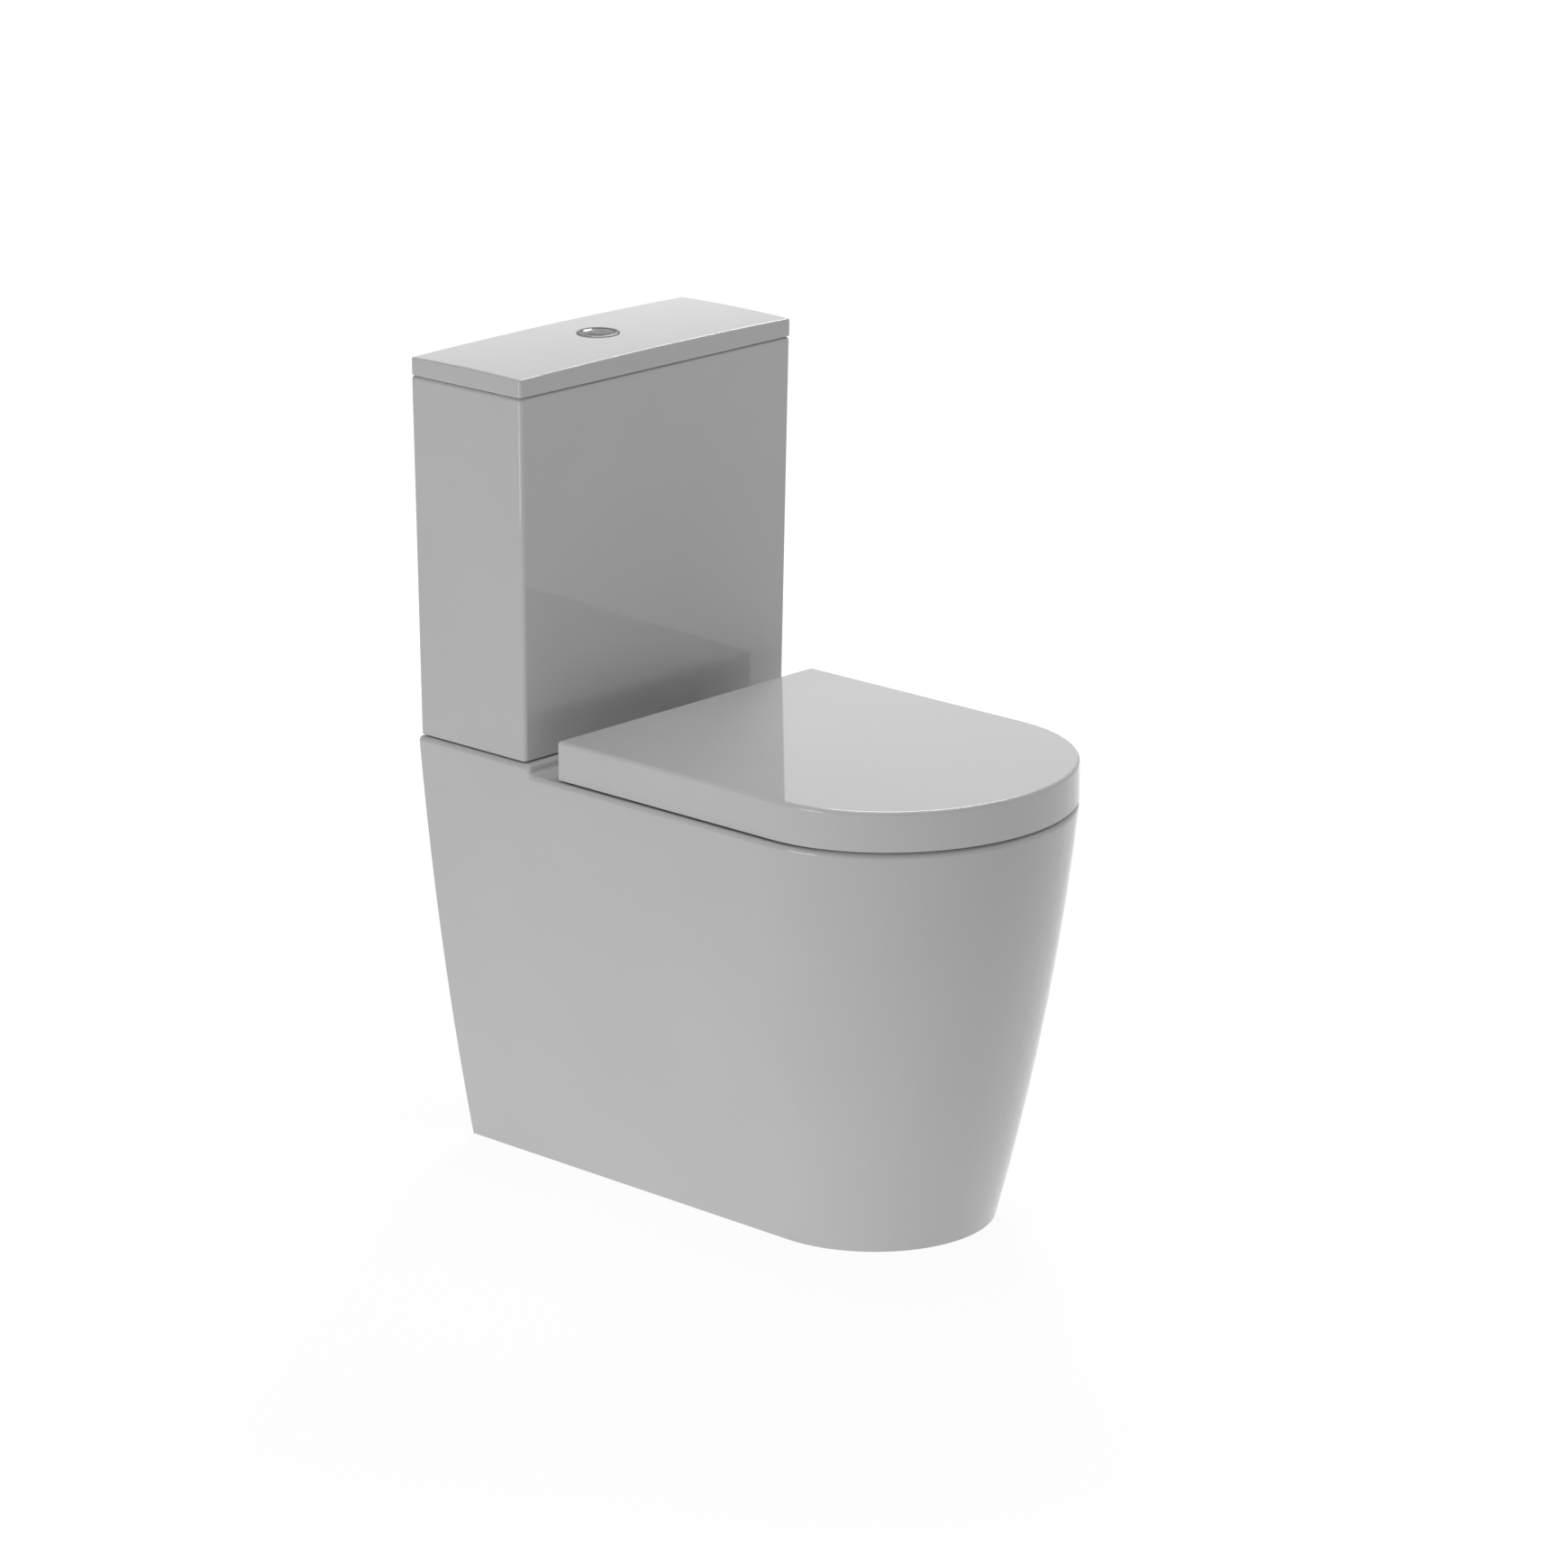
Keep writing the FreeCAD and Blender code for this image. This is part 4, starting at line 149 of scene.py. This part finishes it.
def spread(tree, value, low, high, start=0.0, end=1.0):
    """A number that goes from low to high as the value goes from start to end."""
    node = tree.nodes.new("ShaderNodeMapRange")
    node.inputs["From Min"].default_value = start
    node.inputs["From Max"].default_value = end
    node.inputs["To Min"].default_value = low
    node.inputs["To Max"].default_value = high
    tree.links.new(value, node.inputs["Value"])
    return node.outputs["Result"]


def bump(tree, height, depth, strength, normal=None):
    """A relief of the given depth in metres, on top of another one where that is given."""
    node = tree.nodes.new("ShaderNodeBump")
    node.inputs["Strength"].default_value = strength
    node.inputs["Distance"].default_value = depth
    tree.links.new(height, node.inputs["Height"])
    if normal:
        tree.links.new(normal, node.inputs["Normal"])
    return node.outputs["Normal"]


def set_colour(tree, shader, pattern, low, high):
    """Lets the shader's colour go from low to high with a pattern."""
    node = tree.nodes.new("ShaderNodeValToRGB")
    stops = node.color_ramp.elements
    stops[0].position = PATTERN_LOW
    stops[1].position = PATTERN_HIGH
    stops[0].color = (*low, 1.0)
    stops[1].color = (*high, 1.0)
    tree.links.new(pattern, node.inputs["Fac"])
    tree.links.new(node.outputs["Color"], shader.inputs["Base Color"])


def set_roughness(tree, shader, pattern, low, high):
    """Lets the shader's roughness go from low to high with a pattern."""
    tree.links.new(spread(tree, pattern, low, high), shader.inputs["Roughness"])


def set_relief(tree, shader, relief):
    """Gives the shader a relief."""
    tree.links.new(relief, shader.inputs["Normal"])


# Materials

def vitreous_china():
    """White glaze with a faint cloudiness, a slight waviness and a fine orange peel."""
    material, tree, shader = new_material("vitreous_china")
    cloud = noise(tree, scale=6.0)
    set_colour(tree, shader, cloud, low=(0.69, 0.69, 0.686), high=(0.715, 0.715, 0.712))
    set_roughness(tree, shader, noise(tree, scale=40.0), low=0.02, high=0.045)
    waves = bump(tree, noise(tree, scale=14.0, detail=1.0), depth=0.0001, strength=0.08)
    peel = bump(tree, noise(tree, scale=420.0, detail=2.0), depth=0.00002, strength=0.1, normal=waves)
    set_relief(tree, shader, peel)
    shader.inputs["IOR"].default_value = GLOSS_IOR
    return material


def seat_duroplast():
    """Hard white moulded plastic, a touch lighter than the china, with faint handling marks."""
    material, tree, shader = new_material("seat_duroplast")
    cloud = noise(tree, scale=9.0)
    set_colour(tree, shader, cloud, low=(0.725, 0.725, 0.725), high=(0.745, 0.745, 0.747))
    set_roughness(tree, shader, noise(tree, scale=75.0, detail=6.0), low=0.03, high=0.06)
    flow = bump(tree, noise(tree, scale=22.0, detail=1.0), depth=0.00005, strength=0.15)
    grain = bump(tree, noise(tree, scale=900.0, detail=2.0), depth=0.00001, strength=0.3, normal=flow)
    set_relief(tree, shader, grain)
    shader.inputs["IOR"].default_value = GLOSS_IOR
    return material


def soft_buffer():
    """Pale matt silicone."""
    material, tree, shader = new_material("soft_buffer")
    cloud = noise(tree, scale=300.0)
    set_colour(tree, shader, cloud, low=(0.55, 0.55, 0.54), high=(0.62, 0.62, 0.61))
    set_roughness(tree, shader, noise(tree, scale=700.0), low=0.5, high=0.7)
    set_relief(tree, shader, bump(tree, noise(tree, scale=2500.0), depth=0.00003, strength=0.4))
    return material


def black_rubber():
    """Dark rubber with a dusty bloom."""
    material, tree, shader = new_material("black_rubber")
    bloom = noise(tree, scale=150.0, detail=5.0)
    set_colour(tree, shader, bloom, low=(0.016, 0.016, 0.016), high=(0.045, 0.045, 0.044))
    set_roughness(tree, shader, noise(tree, scale=350.0), low=0.6, high=0.85)
    set_relief(tree, shader, bump(tree, noise(tree, scale=2200.0), depth=0.00005, strength=0.5))
    return material


def chrome(name, low, high, polished, smeared, edge):
    """Plated metal whose roughness goes from polished to smeared. The grey level of the edge tints what
    it mirrors at a flat angle."""
    material, tree, shader = new_material(name)
    shader.inputs["Metallic"].default_value = 1.0
    shader.inputs["Specular Tint"].default_value = (edge, edge, edge, 1.0)
    set_colour(tree, shader, noise(tree, scale=120.0), low, high)
    set_roughness(tree, shader, noise(tree, scale=260.0, detail=5.0), polished, smeared)
    set_relief(tree, shader, bump(tree, noise(tree, scale=1500.0), depth=0.000004, strength=0.3))
    return material


def button_chrome():
    """Darker chrome of the flush buttons and their housing."""
    return chrome("button_chrome", low=(0.31, 0.31, 0.314), high=(0.36, 0.36, 0.364),
                  polished=0.08, smeared=0.16, edge=0.5)


def hinge_chrome():
    """Bright chrome of the seat's hinges."""
    return chrome("hinge_chrome", low=(0.58, 0.58, 0.59), high=(0.66, 0.66, 0.67),
                  polished=0.06, smeared=0.14, edge=1.0)


def moulded_plastic(name, low, high):
    """Injection-moulded plastic with a fine eroded texture."""
    material, tree, shader = new_material(name)
    set_colour(tree, shader, noise(tree, scale=60.0), low, high)
    set_roughness(tree, shader, noise(tree, scale=400.0), low=0.32, high=0.48)
    set_relief(tree, shader, bump(tree, noise(tree, scale=3000.0), depth=0.00003, strength=0.35))
    return material


def valve_white_plastic():
    """Off-white moulded plastic."""
    return moulded_plastic("valve_white_plastic", low=(0.62, 0.62, 0.61), high=(0.68, 0.68, 0.67))


def valve_grey_plastic():
    """Dark blue-grey moulded plastic."""
    return moulded_plastic("valve_grey_plastic", low=(0.10, 0.115, 0.135), high=(0.13, 0.145, 0.165))


def bare_steel(name):
    """Steel with a mottled tone and polish, still without a relief."""
    material, tree, shader = new_material(name)
    shader.inputs["Metallic"].default_value = 1.0
    mottle = noise(tree, scale=500.0)
    set_colour(tree, shader, mottle, low=(0.5, 0.5, 0.51), high=(0.62, 0.62, 0.63))
    set_roughness(tree, shader, noise(tree, scale=900.0, detail=5.0), low=0.22, high=0.38)
    return material, tree, shader


def stainless_steel():
    """Drawn steel with a fine grain."""
    material, tree, shader = bare_steel("stainless_steel")
    set_relief(tree, shader, bump(tree, noise(tree, scale=4000.0), depth=0.00001, strength=0.6))
    return material


def threaded_steel(name, pitch):
    """Steel with the turns of a screw thread."""
    material, tree, shader = bare_steel(name)
    set_relief(tree, shader, bump(tree, threads(tree, pitch), depth=pitch / 2, strength=0.6))
    return material


def materials():
    """The materials by the record's slot names."""
    return {
        "vitreous_china": vitreous_china(),
        "seat_duroplast": seat_duroplast(),
        "soft_buffer": soft_buffer(),
        "button_chrome": button_chrome(),
        "valve_white_plastic": valve_white_plastic(),
        "valve_grey_plastic": valve_grey_plastic(),
        "black_rubber": black_rubber(),
        "stainless_steel": stainless_steel(),
        "hinge_chrome": hinge_chrome(),
    }


# Pieces

def smooth_group():
    """A node group that joins the faces of a solid and keeps only its real edges sharp."""
    group = bpy.data.node_groups.new("smooth_solid", "GeometryNodeTree")
    group.interface.new_socket("Geometry", in_out="INPUT", socket_type="NodeSocketGeometry")
    group.interface.new_socket("Geometry", in_out="OUTPUT", socket_type="NodeSocketGeometry")
    nodes = group.nodes
    links = group.links
    start = nodes.new("NodeGroupInput")
    end = nodes.new("NodeGroupOutput")
    plain = nodes.new("GeometryNodeRemoveAttribute")
    plain.inputs["Name"].default_value = "custom_normal"
    weld = nodes.new("GeometryNodeMergeByDistance")
    weld.inputs["Distance"].default_value = WELD_DISTANCE
    round_faces = nodes.new("GeometryNodeSetShadeSmooth")
    round_faces.domain = "FACE"
    angle = nodes.new("GeometryNodeInputMeshEdgeAngle")
    is_round = nodes.new("FunctionNodeCompare")
    is_round.data_type = "FLOAT"
    is_round.operation = "LESS_THAN"
    is_round.inputs["B"].default_value = math.radians(SMOOTH_ANGLE)
    edges = nodes.new("GeometryNodeSetShadeSmooth")
    edges.domain = "EDGE"
    links.new(start.outputs["Geometry"], plain.inputs["Geometry"])
    links.new(plain.outputs["Geometry"], weld.inputs["Geometry"])
    links.new(weld.outputs["Geometry"], round_faces.inputs["Geometry"])
    links.new(angle.outputs["Unsigned Angle"], is_round.inputs["A"])
    links.new(round_faces.outputs["Geometry"], edges.inputs["Geometry"])
    links.new(is_round.outputs["Result"], edges.inputs["Shade Smooth"])
    links.new(edges.outputs["Geometry"], end.inputs["Geometry"])
    return group


def shade_smooth(piece, group):
    """Smooth shading that follows the piece's real edges."""
    smooth = piece.modifiers.new("smooth", "NODES")
    smooth.node_group = group
    even = piece.modifiers.new("even_normals", "WEIGHTED_NORMAL")
    even.keep_sharp = True


def dress_solids(group):
    """Gives every solid its material and its smooth shading."""
    looks = materials()
    slots = {part["node"]: part["material_slot"] for part in frame["record"]["subparts"]}
    for name, solid in frame["nodes"].items():
        material = looks[slots[name]]
        if name in THREAD_PITCH:
            material = threaded_steel(name + "_thread", THREAD_PITCH[name])
        solid.data.materials.clear()
        solid.data.materials.append(material)
        shade_smooth(solid, group)


def make_springs(group):
    """A coil in place of each button spring, fixed to the cistern lid."""
    for side in BUTTONS:
        node = side + "_button_spring"
        coil = bpy.data.objects.new(side + "_button_coil", frame["nodes"][node].data.copy())
        bpy.context.scene.collection.objects.link(coil)
        shade_smooth(coil, group)
        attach(coil, "cistern_lid_body")
        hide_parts(node)
        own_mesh(coil)


# Stage

def shown_rays(tree):
    """One where a ray comes from the camera, a reflection or a clear material, and zero elsewhere."""
    path = tree.nodes.new("ShaderNodeLightPath")
    shown = path.outputs["Is Camera Ray"]
    for kind in ("Is Glossy Ray", "Is Transmission Ray"):
        either = tree.nodes.new("ShaderNodeMath")
        either.operation = "MAXIMUM"
        tree.links.new(shown, either.inputs[0])
        tree.links.new(path.outputs[kind], either.inputs[1])
        shown = either.outputs["Value"]
    return shown


def make_world():
    """A pale surround where it is seen, and a soft even light elsewhere."""
    world = bpy.data.worlds.new("studio")
    tree, output = fresh_tree(world, "ShaderNodeOutputWorld")
    light = tree.nodes.new("ShaderNodeBackground")
    level = spread(tree, shown_rays(tree), AMBIENT, SURROUND_SHOWN)
    tree.links.new(level, light.inputs["Strength"])
    tree.links.new(light.outputs["Background"], output.inputs["Surface"])
    bpy.context.scene.world = world


def floor_material():
    """White paint mixed with a glow, which lifts it to the white of the background."""
    material = bpy.data.materials.new("floor")
    tree, output = fresh_tree(material, "ShaderNodeOutputMaterial")
    paint = tree.nodes.new("ShaderNodeBsdfDiffuse")
    paint.inputs["Color"].default_value = (FLOOR_WHITE, FLOOR_WHITE, FLOOR_WHITE, 1.0)
    place = tree.nodes.new("ShaderNodeTexCoord")
    length = tree.nodes.new("ShaderNodeVectorMath")
    length.operation = "LENGTH"
    tree.links.new(place.outputs["Object"], length.inputs[0])
    distance = length.outputs["Value"]
    glow = tree.nodes.new("ShaderNodeEmission")
    strength = spread(tree, distance, GLOW_NEAR, GLOW_FAR, GLOW_START, GLOW_END)
    tree.links.new(strength, glow.inputs["Strength"])
    bounce = spread(tree, distance, BOUNCE_NEAR, BOUNCE_FAR, BOUNCE_START, BOUNCE_END)
    share = spread(tree, shown_rays(tree), BOUNCE_FAR, FLOOR_SHOWN_GLOW)
    # Rays that only light the object take the bounce at their distance, not its far value
    tree.links.new(bounce, share.node.inputs["To Min"])
    mix = tree.nodes.new("ShaderNodeMixShader")
    tree.links.new(share, mix.inputs["Fac"])
    tree.links.new(paint.outputs["BSDF"], mix.inputs[1])
    tree.links.new(glow.outputs["Emission"], mix.inputs[2])
    tree.links.new(mix.outputs["Shader"], output.inputs["Surface"])
    return material


def make_floor():
    """A white floor that shows as the background and keeps a little of the object's shadow."""
    half = FLOOR_SIDE / 2
    corners = [(-half, -half, 0), (half, -half, 0), (half, half, 0), (-half, half, 0)]
    mesh = bpy.data.meshes.new("floor")
    mesh.from_pydata(corners, [], [(0, 1, 2, 3)])
    floor = bpy.data.objects.new("floor", mesh)
    bpy.context.scene.collection.objects.link(floor)
    floor.data.materials.append(floor_material())


def soft_light(name, place, width, height, power):
    """A rectangular area light that faces the lamps' common target."""
    data = bpy.data.lights.new(name, "AREA")
    data.shape = "RECTANGLE"
    data.size = width
    data.size_y = height
    data.energy = power
    light = bpy.data.objects.new(name, data)
    light.location = place
    direction = Vector(LAMP_TARGET) - Vector(place)
    light.rotation_euler = direction.to_track_quat("-Z", "Y").to_euler()
    bpy.context.scene.collection.objects.link(light)


def make_lights():
    """Wide lights overhead and round the object, and a smaller one that draws the edges of the lids."""
    for name, lamp in LAMPS.items():
        soft_light(name, **lamp)


def make_camera():
    """The photograph's camera."""
    data = bpy.data.cameras.new("photo_camera")
    data.lens = CAMERA_LENS
    data.sensor_width = CAMERA_SENSOR
    data.clip_end = CAMERA_REACH
    camera = bpy.data.objects.new("photo_camera", data)
    azimuth = math.radians(CAMERA_AZIMUTH)
    elevation = math.radians(CAMERA_ELEVATION)
    back = Vector((math.sin(azimuth) * math.cos(elevation),
                   -math.cos(azimuth) * math.cos(elevation),
                   math.sin(elevation)))
    camera.location = CAMERA_PLACE
    camera.rotation_euler = (-back).to_track_quat("-Z", "Y").to_euler()
    bpy.context.scene.collection.objects.link(camera)
    bpy.context.scene.camera = camera


smoothing = smooth_group()
dress_solids(smoothing)
make_springs(smoothing)
make_world()
make_floor()
make_lights()
make_camera()
bpy.context.scene.view_settings.view_transform = "Standard"
